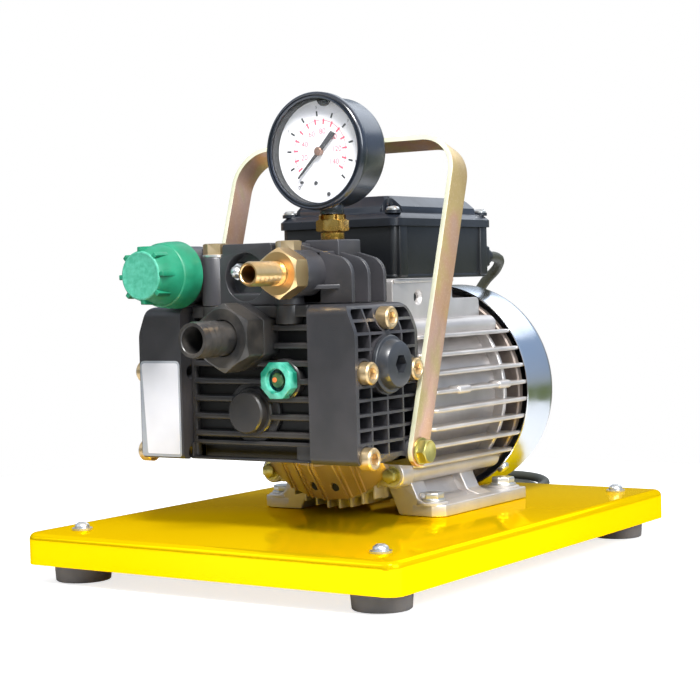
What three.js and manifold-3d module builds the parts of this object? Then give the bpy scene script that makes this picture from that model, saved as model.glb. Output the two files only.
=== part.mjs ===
// Flushing pump: a twin-diaphragm pump and its electric motor on a folded sheet tray.
// Millimetres, +Z up. The origin is on the floor under the middle of the tray, and the
// pump's connections face -Y.

import * as THREE from 'three';
import { mergeVertices } from 'three/addons/utils/BufferGeometryUtils.js';
import Module from 'manifold-3d';

const wasm = await Module();
wasm.setup();

// Clearances and the number of sides of round pieces
const seat = 0.3; // between pieces that touch
const running = 0.3; // round a turning or sliding piece
const overrun = 2; // how far a cut runs past the face it opens
const fineSides = 30;
const roundSides = 14;
const smallSides = 8;
const arcSteps = 4;

// Tray and rubber feet
const plateWidth = 265;
const plateLength = 340;
const plateSheet = 2;
const plateSkirt = 19;
const plateCorner = 9;
const plateFold = 4;
const footInset = 25;
const footHeight = 27.7;
const footTopRadius = 19;
const footBottomRadius = 16.5;
const footBore = 3.4;
const footRecessRadius = 8;
const footRecessDepth = 7;

// Motor, axis at the shaft height over the tray
const shaftHeight = 71;
const boltSpanX = 112;
const boltSpanY = 90;
const boltSetback = 14.55;
const boltHole = 3.5;
const padEdge = 12.3;
const padEnd = 9;
const padThickness = 8;
const framePastBolts = 9.15;
const frameRadius = 56;
const frameBore = 49.5;
const finTipRadius = 70;
const finPitch = 11.2;
const finThickness = 2.6;
const sideFins = 8;
const bottomFins = 6;
const bottomTipRadius = 66.3;
const tieX = 45.2;
const tieZ = 44;
const tieRibRadius = 6.5;
const pedestalWidth = 80;
const pedestalSetback = 42;
const pedestalShelf = 62;
const shelfSetback = 7.7;
const pedestalTop = 75.2;
const pedestalWall = 6;
const pedestalPocket = 14;
const shieldDepth = 14;
const shieldRadius = 61;
const lugRadius = 8;
const shieldWebs = 3;
const shieldWebPitch = 16.5;
const shieldWebThickness = 2.5;
const shieldWebHeight = 3.5;
const rearShieldDepth = 12;
const rearShieldRadius = 60;
const rearLugRadius = 5.6;
const shaftRadius = 7.2;
const shaftTail = 26;
const rotorRadius = 30.2;
const stackLength = 70;
const stackStart = 15;
const airGap = 1.2;
const windingOverhang = 12;
const windingWall = 12;
const bearingRadius = 17.5;
const bearingWidth = 11;
const bearingBoss = 5;

// Fan and its cover
const fanRadius = 54;
const fanPlate = 2.5;
const fanDepth = 18;
const fanBlades = 8;
const fanBladeThickness = 2.4;
const fanHubRadius = 13;
const coverClear = 0.4;
const coverLength = 43.2;
const coverOverlap = 10.5;
const coverSheet = 1;
const coverRounding = 12;
const grilleRings = 2;
const grilleInner = 22;
const grilleSlot = 9;
const grillePitch = 16;
const grilleSpokes = 4;
const spokeWidth = 5;

// Terminal box, capacitor and cable gland
const boxWidth = 86;
const boxLength = 115;
const boxHeight = 33.7;
const boxFrontY = -21;
const boxWall = 3;
const boxCorner = 5;
const boxTaper = 1.2;
const lidOverhang = 2.4;
const lidRim = 8.5;
const lidRise = 11;
const lidInset = 9;
const lidBevel = 4;
const lidWall = 2.5;
const capacitorRadius = 16;
const capacitorLength = 70;
const capacitorX = -16;
const glandX = 28;
const glandHeight = 13.5;
const glandThreadRadius = 7.7;
const glandAcrossFlats = 21;
const glandNut = 9;
const glandDome = 15;
const glandTipRadius = 4.6;

// Pump body between the two heads
const headMidY = -88.5;
const crankY = -83.5;
const headDepth = 66;
const headInner = 46;
const headOuter = 78.3;
const headBottom = -29;
const headTop = 62;
const headCorner = 9;
const crankcaseFront = 26.5;
const ribPitch = 10.35;
const ribThickness = 3.6;
const ribDepth = 5;
const lowestRib = -23.5;
const ribCount = 8;
const adapterLength = 18.9;
const adapterRadius = 48;
const adapterBore = 30;
const capRadius = 12.2;
const capHeight = 6;
const capStep = 1;
const sightX = 23.6;
const sightZ = 19;
const sightAcrossFlats = 21;
const sightHeight = 7;
const sightStemRadius = 8;
const sightStem = 9;
const sightDishRadius = 6.5;
const sightDish = 3;

// Heads: grid of pockets, screws and valve plugs
const gridPitchY = 16.5;
const gridPitchZ = 8.1;
const gridRib = 1.7;
const gridBorder = 3;
const gridDepth = 12;
const gridColumns = 4;
const gridLowest = -24.9;
const gridRows = 10;
const screwSpanY = 48;
const screwLowZ = -25;
const screwHighZ = 23;
const screwTopZ = 53.5;
const screwRadius = 4;
const screwHeadRadius = 6.5;
const screwHeadHeight = 8;
const screwSocket = 6;
const screwSocketDepth = 4;
const screwBossRadius = 8.6;
const screwSink = 2.3;
const screwReach = 9;
const threadBossRadius = 6.4;
const threadBossWall = 1;
const plugZ = 27;
const plugThreadRadius = 12;
const plugThread = 18;
const plugFlangeRadius = 16.2;
const plugFlange = 2.6;
const plugDomeRadius = 14;
const plugDome = 6.4;
const plugSocket = 10;
const plugSocketDepth = 7;
const chamberRadius = 20;
const chamberDepth = 6;
const passageRadius = 4;
const passageZ = 18;

// Crank drive and diaphragms
const throwRadius = 2.5;
const eccentricRadius = 16;
const eccentricWidth = 14;
const yokeWall = 5;
const yokeWidth = 12;
const pistonRodRadius = 5;
const pistonDiscRadius = 12;
const pistonDisc = 3;
const diaphragmRadius = 24;
const diaphragmThickness = 2.9;
const chamberFloorBack = 10.5;

// Manifold on top of the pump
const manifoldTop = 94;
const manifoldHalfWidth = 68;
const manifoldFront = -107;
const manifoldDepth = 36.7;
const manifoldCorner = 17;
const manifoldWeb = 3;
const manifoldCore = 47;
const frontBlockHalf = 26;
const frontBlock = 8;
const columnX = 26.7;
const columnY = -110;
const columnRadius = 8.5;
const columnTop = 97.5;
const archX = -7;
const archRadius = 13.5;
const archZ = 82;
const archDepth = 6;
const studRadius = 4.6;
const studHeight = 10;
const manifoldBoltReach = 9;
const boltHeadHeight = 5.3;
const boltAcrossFlats = 13;
const washerRadius = 8;
const washerThickness = 1.4;
const gaugeX = 38;
const gaugeStemY = -81.5;
const gaugeBoss = 23.5;
const gaugeBossTop = 98;
const gaugeThreadRadius = 5;
const gaugeThread = 8;

// Hose tails and their nuts
const deliveryX = 37;
const deliveryZ = 80;
const deliveryBossRadius = 13;
const deliveryBoss = 16.1;
const deliveryStubRadius = 9;
const deliveryStub = 7.8;
const deliveryNutFlats = 25.5;
const deliveryNut = 12.6;
const deliveryLip = 2.1;
const deliveryTailRadius = 7;
const deliveryTailBore = 4.9;
const deliveryTail = 29.4;
const deliveryBarbs = 5;
const gussetLength = 21;
const gussetThickness = 2.6;
const gussetDrop = 7;
const suctionZ = 44;
const suctionBossRadius = 17;
const suctionBoss = 8.5;
const suctionStubRadius = 12.3;
const suctionStub = 9.7;
const suctionNutFlats = 35;
const suctionNut = 16.4;
const suctionLip = 3.4;
const suctionTailRadius = 10.5;
const suctionTailBore = 7.6;
const suctionTail = 31.6;
const suctionBarbs = 4;
const barbStep = 0.7;
const flangeThickness = 2.4;
const portDepth = 24;

// Pressure regulator
const knobX = -48;
const knobZ = 81;
const knobRear = -120;
const knobLength = 34;
const knobRimRadius = 20;
const knobRim = 16;
const knobFaceRadius = 14.2;
const knobWaistRadius = 18.4;
const knobWings = 8;
const knobWing = 3.2;
const knobWingRise = 2.4;
const knobSkirtDepth = 7;
const regulatorBossRadius = 17;
const regulatorBoss = 15.5;
const regulatorBore = 9;
const regulatorBoreDepth = 30;
const stemRadius = 5;
const stemLength = 30;
const stemPlateRadius = 8.5;
const stemPlate = 3;
const knobTravel = 4;
const springRadius = 8;
const springWall = 2;

// Pressure gauge
const gaugeZ = 150;
const gaugeFace = -99;
const gaugeBezelRadius = 34;
const gaugeBezel = 6;
const gaugeCaseRadius = 31.8;
const gaugeDepth = 30;
const gaugeWall = 1.8;
const gaugeLipRadius = 30;
const gaugeLip = 1.2;
const gaugeGlass = 1.5;
const gaugeDialDepth = 7;
const gaugeDialThickness = 1;
const gaugeNeckRadius = 7;
const gaugeCollarRadius = 6.6;
const gaugeCollar = 4;
const gaugeHexFlats = 16.7;
const gaugeHex = 9.6;
const pointerTip = 21;
const pointerTail = 12;
const pointerWidth = 1.6;
const pointerTailWidth = 3.6;
const pointerThickness = 0.8;
const pointerHubRadius = 2.6;
const pointerHub = 3.4;
const pointerRest = Math.PI / 4; // from straight down, towards -X

// Carrying handle
const handleWidth = 18;
const handleThickness = 3;
const handleHalf = 83.3;
const handleReach = 194.25;
const handleBend = 25;
const handleTilt = 18.05;
const handleShift = 1.1;
const handleEyeRadius = 4.6;

// Mains lead: free stretch, coil and plug
const cordDiameter = 7;
const cordSides = 8;
const cordStep = 17;
const coilRadius = 42;
const coilPitch = 7.9;
const coilLayer = 7.9;
const turnsIn = 3;
const turnsOver = 0.5;
const turnsOut = 2.75;
const coilSides = 6;
const coilSteps = 24;
const coilDip = 2;
const plugReliefRadius = 5;
const plugRelief = 28;
const plugBodyRadius = 17;
const plugNeckRadius = 11;
const plugBody = 34;
const plugPinRadius = 2.4;
const plugPinLength = 19;
const plugPinPitch = 19;
const cordRoute = [
  [28, 118.6, 190], [28, 126, 190], [25, 140, 187.7], [16.8, 150.2, 181.6], [5.6, 154, 173.2],
  [-2.2, 154.6, 162.4], [-6, 155, 149.2], [-6.6, 155, 120], [-6.7, 155, 92], [-6.75, 155.6, 66],
  [-6.75, 160, 51], [-6.75, 170.4, 39.6], [-6.75, 183.5, 34.5], [-6.75, 196, 29], [-6.75, 206, 20],
  [-6.75, 216, 10.4], [-6.75, 228, 4.9], [-6.75, 239, 3.8], [-6.75, 247.7, 3.8],
];

// Places that follow from the sizes above
const plateTop = footHeight + seat + plateSheet;
const headFront = headMidY - headDepth / 2;
const headBack = headMidY + headDepth / 2;
const caseFront = headMidY - crankcaseFront;
const caseHalf = headInner - seat;
const adapterFront = headBack + seat;
const adapterBack = adapterFront + adapterLength;
const shieldFront = adapterBack + seat;
const shieldBack = shieldFront + shieldDepth;
const frameFront = shieldBack + seat;
const firstBoltY = frameFront + boltSetback;
const frameBack = firstBoltY + boltSpanY + framePastBolts;
const rearShieldFront = frameBack + seat;
const rearShieldBack = rearShieldFront + rearShieldDepth;
const coverFront = rearShieldBack - coverOverlap;
const coverBack = coverFront + coverLength;
const boltMidY = firstBoltY + boltSpanY / 2;
const coverRadius = finTipRadius + coverClear;
const boxBottom = pedestalTop + seat;
const boxTop = boxBottom + boxHeight;
const boxBackY = boxFrontY + boxLength;
const glandZ = boxBottom + glandHeight;
const screwBackY = headMidY + screwSpanY / 2;
const screwFrontY = headMidY - screwSpanY / 2;
const screwSeat = headOuter - screwSink;
const handleBoltY = screwBackY + handleShift;
const handleInner = handleHalf - handleThickness;
const manifoldBack = manifoldFront + manifoldDepth;
const manifoldBottom = headTop + seat;
const spinRadius = eccentricRadius + throwRadius;
const windowHalfX = spinRadius + throwRadius + running;
const windowHalfZ = spinRadius + running;
const yokeHalfX = windowHalfX + yokeWall;
const yokeHalfZ = windowHalfZ + yokeWall;
const crankHalfX = yokeHalfX + throwRadius + running;
const crankHalfZ = yokeHalfZ + running;
const diaphragmInner = headInner - seat - diaphragmThickness;
const crankBearingFront = caseFront + bearingBoss;

function finish(color, roughness, metalness) {
  return new THREE.MeshStandardMaterial({ color, roughness, metalness });
}

const yellowPaint = finish(0xf5c400, 0.3, 0);
const castAluminium = finish(0xb9b4ad, 0.45, 0.9);
const zincSheet = finish(0xc9ced6, 0.25, 1);
const steel = finish(0x8d8f92, 0.35, 1);
const blackPlastic = finish(0x1d1e20, 0.5, 0);
const pumpBlack = finish(0x2b2c2f, 0.45, 0.1);
const blackRubber = finish(0x2e2f33, 0.8, 0);
const yellowZinc = finish(0xc2a458, 0.35, 1);
const brass = finish(0xc99a4b, 0.3, 1);
const greenPlastic = finish(0x22a06c, 0.55, 0);
const greenClear = finish(0x1f9a72, 0.2, 0);
const clearPane = finish(0xe8eef2, 0.05, 0);
const whiteDial = finish(0xf4f2f6, 0.6, 0);
const copper = finish(0xa8632f, 0.5, 0.6);
const greyPlastic = finish(0x6d7075, 0.5, 0);
const cordBlack = finish(0x22231f, 0.65, 0);

// Welds a geometry's corners, drops collapsed faces and turns the faces outward.
function closed(geometry) {
  if (geometry.userData.closed) return geometry;
  const bare = new THREE.BufferGeometry();
  bare.setAttribute('position', geometry.getAttribute('position'));
  bare.setIndex(geometry.getIndex());
  const welded = mergeVertices(bare);
  const place = welded.getAttribute('position');
  const from = welded.getIndex().array;
  const faces = [];
  let volume = 0;
  for (let i = 0; i < from.length; i += 3) {
    const [a, b, c] = [from[i], from[i + 1], from[i + 2]];
    if (a === b || b === c || c === a) continue;
    const [p, q, r] = [a, b, c].map((k) => new THREE.Vector3().fromBufferAttribute(place, k));
    volume += p.dot(q.cross(r));
    faces.push([a, b, c]);
  }
  const turned = volume < 0 ? faces.map(([a, b, c]) => [a, c, b]) : faces;
  welded.setIndex(turned.flat());
  welded.userData = { closed: true };
  return welded;
}

function toSolid(geometry) {
  const shut = closed(geometry);
  const vertProperties = new Float32Array(shut.getAttribute('position').array);
  const triVerts = new Uint32Array(shut.getIndex().array);
  return new wasm.Manifold(new wasm.Mesh({ numProp: 3, vertProperties, triVerts }));
}

function toGeometry(body) {
  const mesh = body.getMesh();
  const geometry = new THREE.BufferGeometry();
  geometry.setAttribute('position', new THREE.BufferAttribute(new Float32Array(mesh.vertProperties), 3));
  geometry.setIndex(Array.from(mesh.triVerts));
  geometry.userData = { closed: true };
  return geometry;
}

function join(...geometries) {
  return toGeometry(geometries.map(toSolid).reduce((sum, body) => sum.add(body)));
}

function cut(geometry, ...tools) {
  const tool = tools.map(toSolid).reduce((sum, body) => sum.add(body));
  return toGeometry(toSolid(geometry).subtract(tool));
}

function common(geometry, other) {
  return toGeometry(toSolid(geometry).intersect(toSolid(other)));
}

function mirrorX(geometry) {
  const copy = closed(geometry).clone();
  copy.scale(-1, 1, 1);
  const from = Array.from(copy.getIndex().array);
  for (let i = 0; i < from.length; i += 3) [from[i], from[i + 1]] = [from[i + 1], from[i]];
  copy.setIndex(from);
  copy.userData = { closed: true };
  return copy;
}

function box(low, high) {
  const size = high.map((value, k) => value - low[k]);
  const geometry = new THREE.BoxGeometry(...size);
  return geometry.translate(...low.map((value, k) => value + size[k] / 2));
}

// Turned pieces: the profile is a list of [radius, place along the axis].
function turnY(profile, sides = roundSides) {
  return new THREE.LatheGeometry(profile.map(([r, y]) => new THREE.Vector2(r, y)), sides);
}

function turnX(profile, sides = roundSides) {
  return turnY(profile, sides).rotateZ(-Math.PI / 2);
}

function turnZ(profile, sides = roundSides) {
  return turnY(profile, sides).rotateX(Math.PI / 2);
}

function rod(radius, from, to) {
  return [[0, from], [radius, from], [radius, to], [0, to]];
}

function ring(inner, outer, from, to) {
  return [[inner, from], [outer, from], [outer, to], [inner, to], [inner, from]];
}

function hexagon(acrossFlats, from, to) {
  return rod(acrossFlats / Math.sqrt(3), from, to);
}

// Prisms: the outline is a THREE.Shape in the two axes across the one it is drawn along.
function extrude(shape, depth) {
  return new THREE.ExtrudeGeometry(shape, { depth, bevelEnabled: false, curveSegments: arcSteps });
}

function prismX(shape, from, to) {
  const basis = new THREE.Matrix4().makeBasis(
    new THREE.Vector3(0, 1, 0), new THREE.Vector3(0, 0, 1), new THREE.Vector3(1, 0, 0));
  return extrude(shape, to - from).applyMatrix4(basis).translate(from, 0, 0);
}

function prismY(shape, from, to) {
  return extrude(shape, to - from).rotateX(Math.PI / 2).translate(0, to, 0);
}

function prismZ(shape, from, to) {
  return extrude(shape, to - from).translate(0, 0, from);
}

function polygon(points) {
  return new THREE.Shape(points.map(([x, y]) => new THREE.Vector2(x, y)));
}

// A rectangle whose four corners have the radii given from low-low round to low-high.
function roundedOutline(low, high, radii) {
  const [x0, y0] = low;
  const [x1, y1] = high;
  const [r0, r1, r2, r3] = radii;
  const shape = new THREE.Shape();
  shape.absarc(x0 + r0, y0 + r0, r0, Math.PI, 1.5 * Math.PI);
  shape.absarc(x1 - r1, y0 + r1, r1, -0.5 * Math.PI, 0);
  shape.absarc(x1 - r2, y1 - r2, r2, 0, 0.5 * Math.PI);
  shape.absarc(x0 + r3, y1 - r3, r3, 0.5 * Math.PI, Math.PI);
  return shape;
}

// A body through stacked rounded rectangles, each [width, length, corner radius, z].
function stack(levels) {
  const rings = levels.map(([width, length, radius, z]) => {
    const corners = [[1, 1, 0], [-1, 1, 1], [-1, -1, 2], [1, -1, 3]];
    return corners.flatMap(([sx, sy, quarter]) => {
      const points = [];
      for (let k = 0; k <= arcSteps; k += 1) {
        const angle = (quarter + k / arcSteps) * Math.PI / 2;
        points.push(new THREE.Vector3(
          sx * (width / 2 - radius) + radius * Math.cos(angle),
          sy * (length / 2 - radius) + radius * Math.sin(angle), z));
      }
      return points;
    });
  });
  return ringBody(rings);
}

// A closed body through rings of equal count; the first and last are flat caps.
function ringBody(rings) {
  const count = rings[0].length;
  const positions = rings.flat().flatMap((p) => p.toArray());
  const faces = [];
  for (let i = 0; i + 1 < rings.length; i += 1) {
    for (let k = 0; k < count; k += 1) {
      const a = i * count + k;
      const b = i * count + (k + 1) % count;
      faces.push(a, b, b + count, a, b + count, a + count);
    }
  }
  const last = (rings.length - 1) * count;
  for (let k = 1; k + 1 < count; k += 1) {
    faces.push(0, k + 1, k, last, last + k, last + k + 1);
  }
  const geometry = new THREE.BufferGeometry();
  geometry.setAttribute('position', new THREE.Float32BufferAttribute(positions, 3));
  geometry.setIndex(faces);
  return geometry;
}

const unit = new THREE.Group();
unit.name = 'flushing_pump';
const deck = new THREE.Group();
deck.position.z = plateTop;
const drive = new THREE.Group();
drive.position.z = shaftHeight;
deck.add(drive);
unit.add(deck);

function place(group, name, geometry, material) {
  const mesh = new THREE.Mesh(closed(geometry), material);
  mesh.name = name;
  group.add(mesh);
  return mesh;
}

// Tray: a sheet with four folded sides, open below.
function plateLevels(inset, fold, bottom, top) {
  const levels = [[plateWidth - 2 * inset, plateLength - 2 * inset, plateCorner - inset, bottom]];
  for (let k = 0; k <= arcSteps / 2; k += 1) {
    const angle = k / arcSteps * Math.PI;
    const back = inset + fold * (1 - Math.cos(angle));
    levels.push([plateWidth - 2 * back, plateLength - 2 * back, plateCorner - back,
      top - fold * (1 - Math.sin(angle))]);
  }
  return levels;
}

function basePlate() {
  const outer = stack(plateLevels(0, plateFold, -plateSkirt, 0));
  const fold = plateFold - plateSheet;
  const inner = stack(plateLevels(plateSheet, fold, -plateSkirt - overrun, -plateSheet));
  const holes = [];
  for (const sx of [-1, 1]) {
    for (const sy of [-1, 1]) {
      const screw = turnZ(rod(footBore, -plateSheet - overrun, overrun), smallSides);
      holes.push(screw.translate(sx * (plateWidth / 2 - footInset), sy * (plateLength / 2 - footInset), 0));
      const bolt = turnZ(rod(boltHole, -plateSheet - overrun, overrun), smallSides);
      holes.push(bolt.translate(sx * boltSpanX / 2, boltMidY + sy * boltSpanY / 2, 0));
    }
  }
  return cut(outer, inner, ...holes);
}

function rubberFoot() {
  return turnZ([
    [footRecessRadius, 0], [footBottomRadius, 0], [footTopRadius, footHeight], [footBore, footHeight],
    [footBore, footRecessDepth], [footRecessRadius, footRecessDepth], [footRecessRadius, 0],
  ]);
}

place(deck, 'base_plate', basePlate(), yellowPaint);
for (const [side, sx] of [['left', -1], ['right', 1]]) {
  for (const [end, sy] of [['front', -1], ['rear', 1]]) {
    const foot = place(unit, `rubber_foot_${end}_${side}`, rubberFoot(), blackRubber);
    foot.position.set(sx * (plateWidth / 2 - footInset), sy * (plateLength / 2 - footInset), 0);
  }
}

// Motor frame: finned tube with four tie-rod ribs, cast feet and the terminal box pedestal.
const footWebShares = [[0.655, 0], [0.914, 0.15], [0.818, 0.31], [0.61, 0.5], [0.366, 0.5]];

function motorFeet() {
  const [inner, ...web] = footWebShares.map(([x, z]) => [x * boltSpanX / 2, seat - shaftHeight + z * shaftHeight]);
  const edge = boltSpanX / 2 + padEdge;
  const outline = [inner, [edge, seat - shaftHeight], [edge, seat - shaftHeight + padThickness], ...web];
  const from = boltMidY - boltSpanY / 2 - padEnd;
  const foot = prismY(polygon(outline), from, from + boltSpanY + 2 * padEnd);
  return [foot, mirrorX(foot)];
}

function motorFins() {
  const fins = [];
  for (let k = 0; k < sideFins; k += 1) {
    const z = (k - (sideFins - 1) / 2) * finPitch;
    const reach = Math.sqrt(finTipRadius ** 2 - z ** 2);
    fins.push(box([-reach, frameFront, z - finThickness / 2], [reach, frameBack, z + finThickness / 2]));
  }
  for (let k = 0; k < bottomFins; k += 1) {
    const x = (k - (bottomFins - 1) / 2) * finPitch;
    const reach = Math.sqrt(bottomTipRadius ** 2 - x ** 2);
    fins.push(box([x - finThickness / 2, frameFront, -reach], [x + finThickness / 2, frameBack, 0]));
  }
  return fins;
}

function tiePlaces() {
  return [[-1, -1], [1, -1], [-1, 1], [1, 1]].map(([sx, sz]) => [sx * tieX, sz * tieZ]);
}

function motorFrame() {
  const core = turnY(rod(frameRadius, frameFront, frameBack), fineSides);
  const ribs = tiePlaces().map(([x, z]) =>
    turnY(rod(tieRibRadius, frameFront, frameBack), smallSides).translate(x, 0, z));
  const half = pedestalWidth / 2;
  const back = frameBack - pedestalSetback;
  const pedestal = box([-half, frameFront, 0], [half, back, pedestalTop]);
  const shelf = box([-half, frameFront, 0], [half, frameBack - shelfSetback, pedestalShelf]);
  const pocket = box([pedestalWall - half, frameFront + pedestalWall, pedestalTop - pedestalPocket],
    [half - pedestalWall, back - pedestalWall, pedestalTop + overrun]);
  const bore = turnY(rod(frameBore, frameFront - overrun, frameBack + overrun), fineSides);
  const holes = [];
  for (const sx of [-1, 1]) {
    for (const sy of [-1, 1]) {
      const hole = turnZ(rod(boltHole, -shaftHeight - overrun, padThickness + overrun - shaftHeight), smallSides);
      holes.push(hole.translate(sx * boltSpanX / 2, boltMidY + sy * boltSpanY / 2, 0));
    }
  }
  const body = join(core, pedestal, shelf, ...motorFins(), ...ribs, ...motorFeet());
  return cut(body, bore, pocket, ...holes);
}

function frontShield() {
  const disc = turnY(rod(shieldRadius, shieldFront, shieldBack), fineSides);
  const lugs = tiePlaces().map(([x, z]) =>
    turnY(rod(lugRadius, shieldFront, shieldBack), smallSides).translate(x, 0, z));
  const webs = [];
  for (let k = 0; k < shieldWebs; k += 1) {
    const x = (k - (shieldWebs - 1) / 2) * shieldWebPitch;
    webs.push(box([x - shieldWebThickness / 2, shieldFront - shieldWebHeight, shieldWebHeight - shieldRadius],
      [x + shieldWebThickness / 2, shieldFront + seat, -adapterRadius - seat]));
  }
  const bearing = turnY(rod(bearingRadius + seat, shieldBack - bearingWidth - seat, shieldBack + overrun));
  const shaft = turnY(rod(shaftRadius + 2 * running, shieldFront - overrun, shieldBack + overrun));
  return cut(join(disc, ...lugs, ...webs), bearing, shaft);
}

function rearShield() {
  const disc = turnY(rod(rearShieldRadius, rearShieldFront, rearShieldBack), fineSides);
  const lugs = tiePlaces().map(([x, z]) =>
    turnY(rod(rearLugRadius, rearShieldFront, rearShieldBack), smallSides).translate(x, 0, z));
  const bearing = turnY(rod(bearingRadius + seat, rearShieldFront - overrun, rearShieldFront + bearingWidth));
  const shaft = turnY(rod(shaftRadius + 2 * running, rearShieldFront - overrun, rearShieldBack + overrun));
  return cut(join(disc, ...lugs), bearing, shaft);
}

function bearingAt(from) {
  return turnY(ring(shaftRadius + running, bearingRadius, from, from + bearingWidth));
}

const stackFront = frameFront + stackStart;
const stackBack = stackFront + stackLength;
const statorBore = rotorRadius + airGap;

function statorCore() {
  const outer = frameBore - seat;
  return turnY([
    [statorBore, stackFront], [statorBore + airGap, stackFront - windingOverhang],
    [statorBore + windingWall, stackFront - windingOverhang], [statorBore + windingWall, stackFront],
    [outer, stackFront], [outer, stackBack], [statorBore + windingWall, stackBack],
    [statorBore + windingWall, stackBack + windingOverhang],
    [statorBore + airGap, stackBack + windingOverhang], [statorBore, stackBack], [statorBore, stackFront],
  ]);
}

function rotor() {
  const from = crankBearingFront + seat;
  const to = rearShieldBack + shaftTail;
  return turnY([
    [0, from], [shaftRadius, from], [shaftRadius, stackFront], [rotorRadius, stackFront],
    [rotorRadius, stackBack], [shaftRadius, stackBack], [shaftRadius, to], [0, to],
  ]);
}

place(drive, 'motor_frame', motorFrame(), castAluminium);
place(drive, 'front_shield', frontShield(), castAluminium);
place(drive, 'rear_shield', rearShield(), castAluminium);
place(drive, 'stator_core', statorCore(), copper);
place(drive, 'rotor', rotor(), steel);
place(drive, 'front_bearing', bearingAt(shieldBack - bearingWidth), steel);
place(drive, 'rear_bearing', bearingAt(rearShieldFront), steel);
place(drive, 'pump_bearing', bearingAt(crankBearingFront + seat), steel);

// Fan on the shaft's tail, inside a sheet cover with a slotted grille.
const fanFront = rearShieldBack + shaftTail - fanDepth - seat;

function coolingFan() {
  const disc = turnY(rod(fanRadius, fanFront, fanFront + fanPlate));
  const hub = turnY(rod(fanHubRadius, fanFront, fanFront + fanDepth));
  const blades = [];
  for (let k = 0; k < fanBlades; k += 1) {
    const blade = box([0, fanFront, -fanBladeThickness / 2],
      [fanRadius - fanPlate, fanFront + fanDepth, fanBladeThickness / 2]);
    blades.push(blade.rotateY(2 * Math.PI * k / fanBlades));
  }
  const bore = turnY(rod(shaftRadius + seat, fanFront - overrun, fanFront + fanDepth + overrun));
  return cut(join(disc, hub, ...blades), bore);
}

function coverProfile() {
  const outer = [];
  const inner = [];
  for (let k = 0; k <= arcSteps; k += 1) {
    const angle = k / arcSteps * Math.PI / 2;
    const centre = [coverRadius - coverRounding, coverBack - coverRounding];
    const small = coverRounding - coverSheet;
    outer.push([centre[0] + coverRounding * Math.cos(angle), centre[1] + coverRounding * Math.sin(angle)]);
    inner.unshift([centre[0] + small * Math.cos(angle), centre[1] + small * Math.sin(angle)]);
  }
  const mouth = [[coverRadius - coverSheet, coverFront], [coverRadius, coverFront]];
  return [[0, coverBack - coverSheet], ...inner, ...mouth, ...outer, [0, coverBack]];
}

function fanCover() {
  const shell = turnY(coverProfile(), fineSides);
  const slots = [];
  for (let k = 0; k < grilleRings; k += 1) {
    const inner = grilleInner + k * grillePitch;
    slots.push(turnY(ring(inner, inner + grilleSlot, coverBack - coverSheet - overrun, coverBack + overrun)));
  }
  const spokes = [];
  for (let k = 0; k < grilleSpokes; k += 1) {
    const spoke = box([0, coverBack - coverRounding, -spokeWidth / 2],
      [coverRadius, coverBack + coverRounding, spokeWidth / 2]);
    spokes.push(spoke.rotateY(2 * Math.PI * k / grilleSpokes));
  }
  return cut(shell, cut(join(...slots), ...spokes));
}

place(drive, 'cooling_fan', coolingFan(), blackPlastic);
place(drive, 'fan_cover', fanCover(), zincSheet);

// Terminal box with its lid, the capacitor inside and the gland at its rear.
const boxMidY = (boxFrontY + boxBackY) / 2;

function terminalBox() {
  const outer = stack([
    [boxWidth - 2 * boxTaper, boxLength - 2 * boxTaper, boxCorner, boxBottom],
    [boxWidth, boxLength, boxCorner, boxTop],
  ]);
  const inner = stack([
    [boxWidth - 2 * (boxTaper + boxWall), boxLength - 2 * (boxTaper + boxWall), boxCorner - boxWall,
      boxBottom + boxWall],
    [boxWidth - 2 * boxWall, boxLength - 2 * boxWall, boxCorner - boxWall, boxTop + overrun],
  ]);
  const wires = turnZ(rod(glandThreadRadius, boxBottom - overrun, boxBottom + boxWall + overrun), smallSides);
  const gland = turnY(rod(glandThreadRadius + seat, boxLength / 2 - 2 * boxWall, boxLength / 2 + overrun));
  return cut(outer, inner, wires, gland.translate(glandX, 0, glandZ)).translate(0, boxMidY, 0);
}

function lidLevels(inset, bottom, drop) {
  const width = boxWidth + 2 * (lidOverhang - inset);
  const length = boxLength + 2 * (lidOverhang - inset);
  const corner = boxCorner + lidOverhang - inset;
  const shoulder = boxTop + seat + lidRim - drop;
  const top = shoulder + lidRise;
  const raised = lidInset - lidBevel;
  return [
    [width, length, corner, bottom], [width, length, corner, shoulder],
    [width - 2 * raised, length - 2 * raised, corner, shoulder],
    [width - 2 * raised, length - 2 * raised, corner, top - lidBevel],
    [width - 2 * lidInset, length - 2 * lidInset, corner, top],
  ];
}

function terminalLid() {
  const bottom = boxTop + seat;
  const outer = stack(lidLevels(0, bottom, 0));
  const inner = stack(lidLevels(lidWall + lidOverhang, bottom - overrun, lidWall));
  return cut(outer, inner).translate(0, boxMidY, 0);
}

function runCapacitor() {
  const from = boxMidY - capacitorLength / 2;
  const edge = capacitorRadius / 10;
  const can = turnY([
    [0, from], [capacitorRadius - edge, from], [capacitorRadius, from + edge],
    [capacitorRadius, from + capacitorLength - edge], [capacitorRadius - edge, from + capacitorLength],
    [0, from + capacitorLength],
  ]);
  return can.translate(capacitorX, 0, boxBottom + boxWall + seat + capacitorRadius);
}

function cableGland() {
  const wall = boxBackY + seat;
  const nut = turnY(hexagon(glandAcrossFlats, wall, wall + glandNut), 6);
  const stem = turnY([
    [0, boxBackY - boxWall - overrun], [glandThreadRadius, boxBackY - boxWall - overrun],
    [glandThreadRadius, wall + seat], [glandAcrossFlats / 2 - seat, wall + seat],
    [glandAcrossFlats / 2 - seat, wall + glandNut + seat], [glandTipRadius, wall + glandNut + glandDome],
    [0, wall + glandNut + glandDome],
  ]);
  return join(nut, stem).translate(glandX, 0, glandZ);
}

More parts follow.
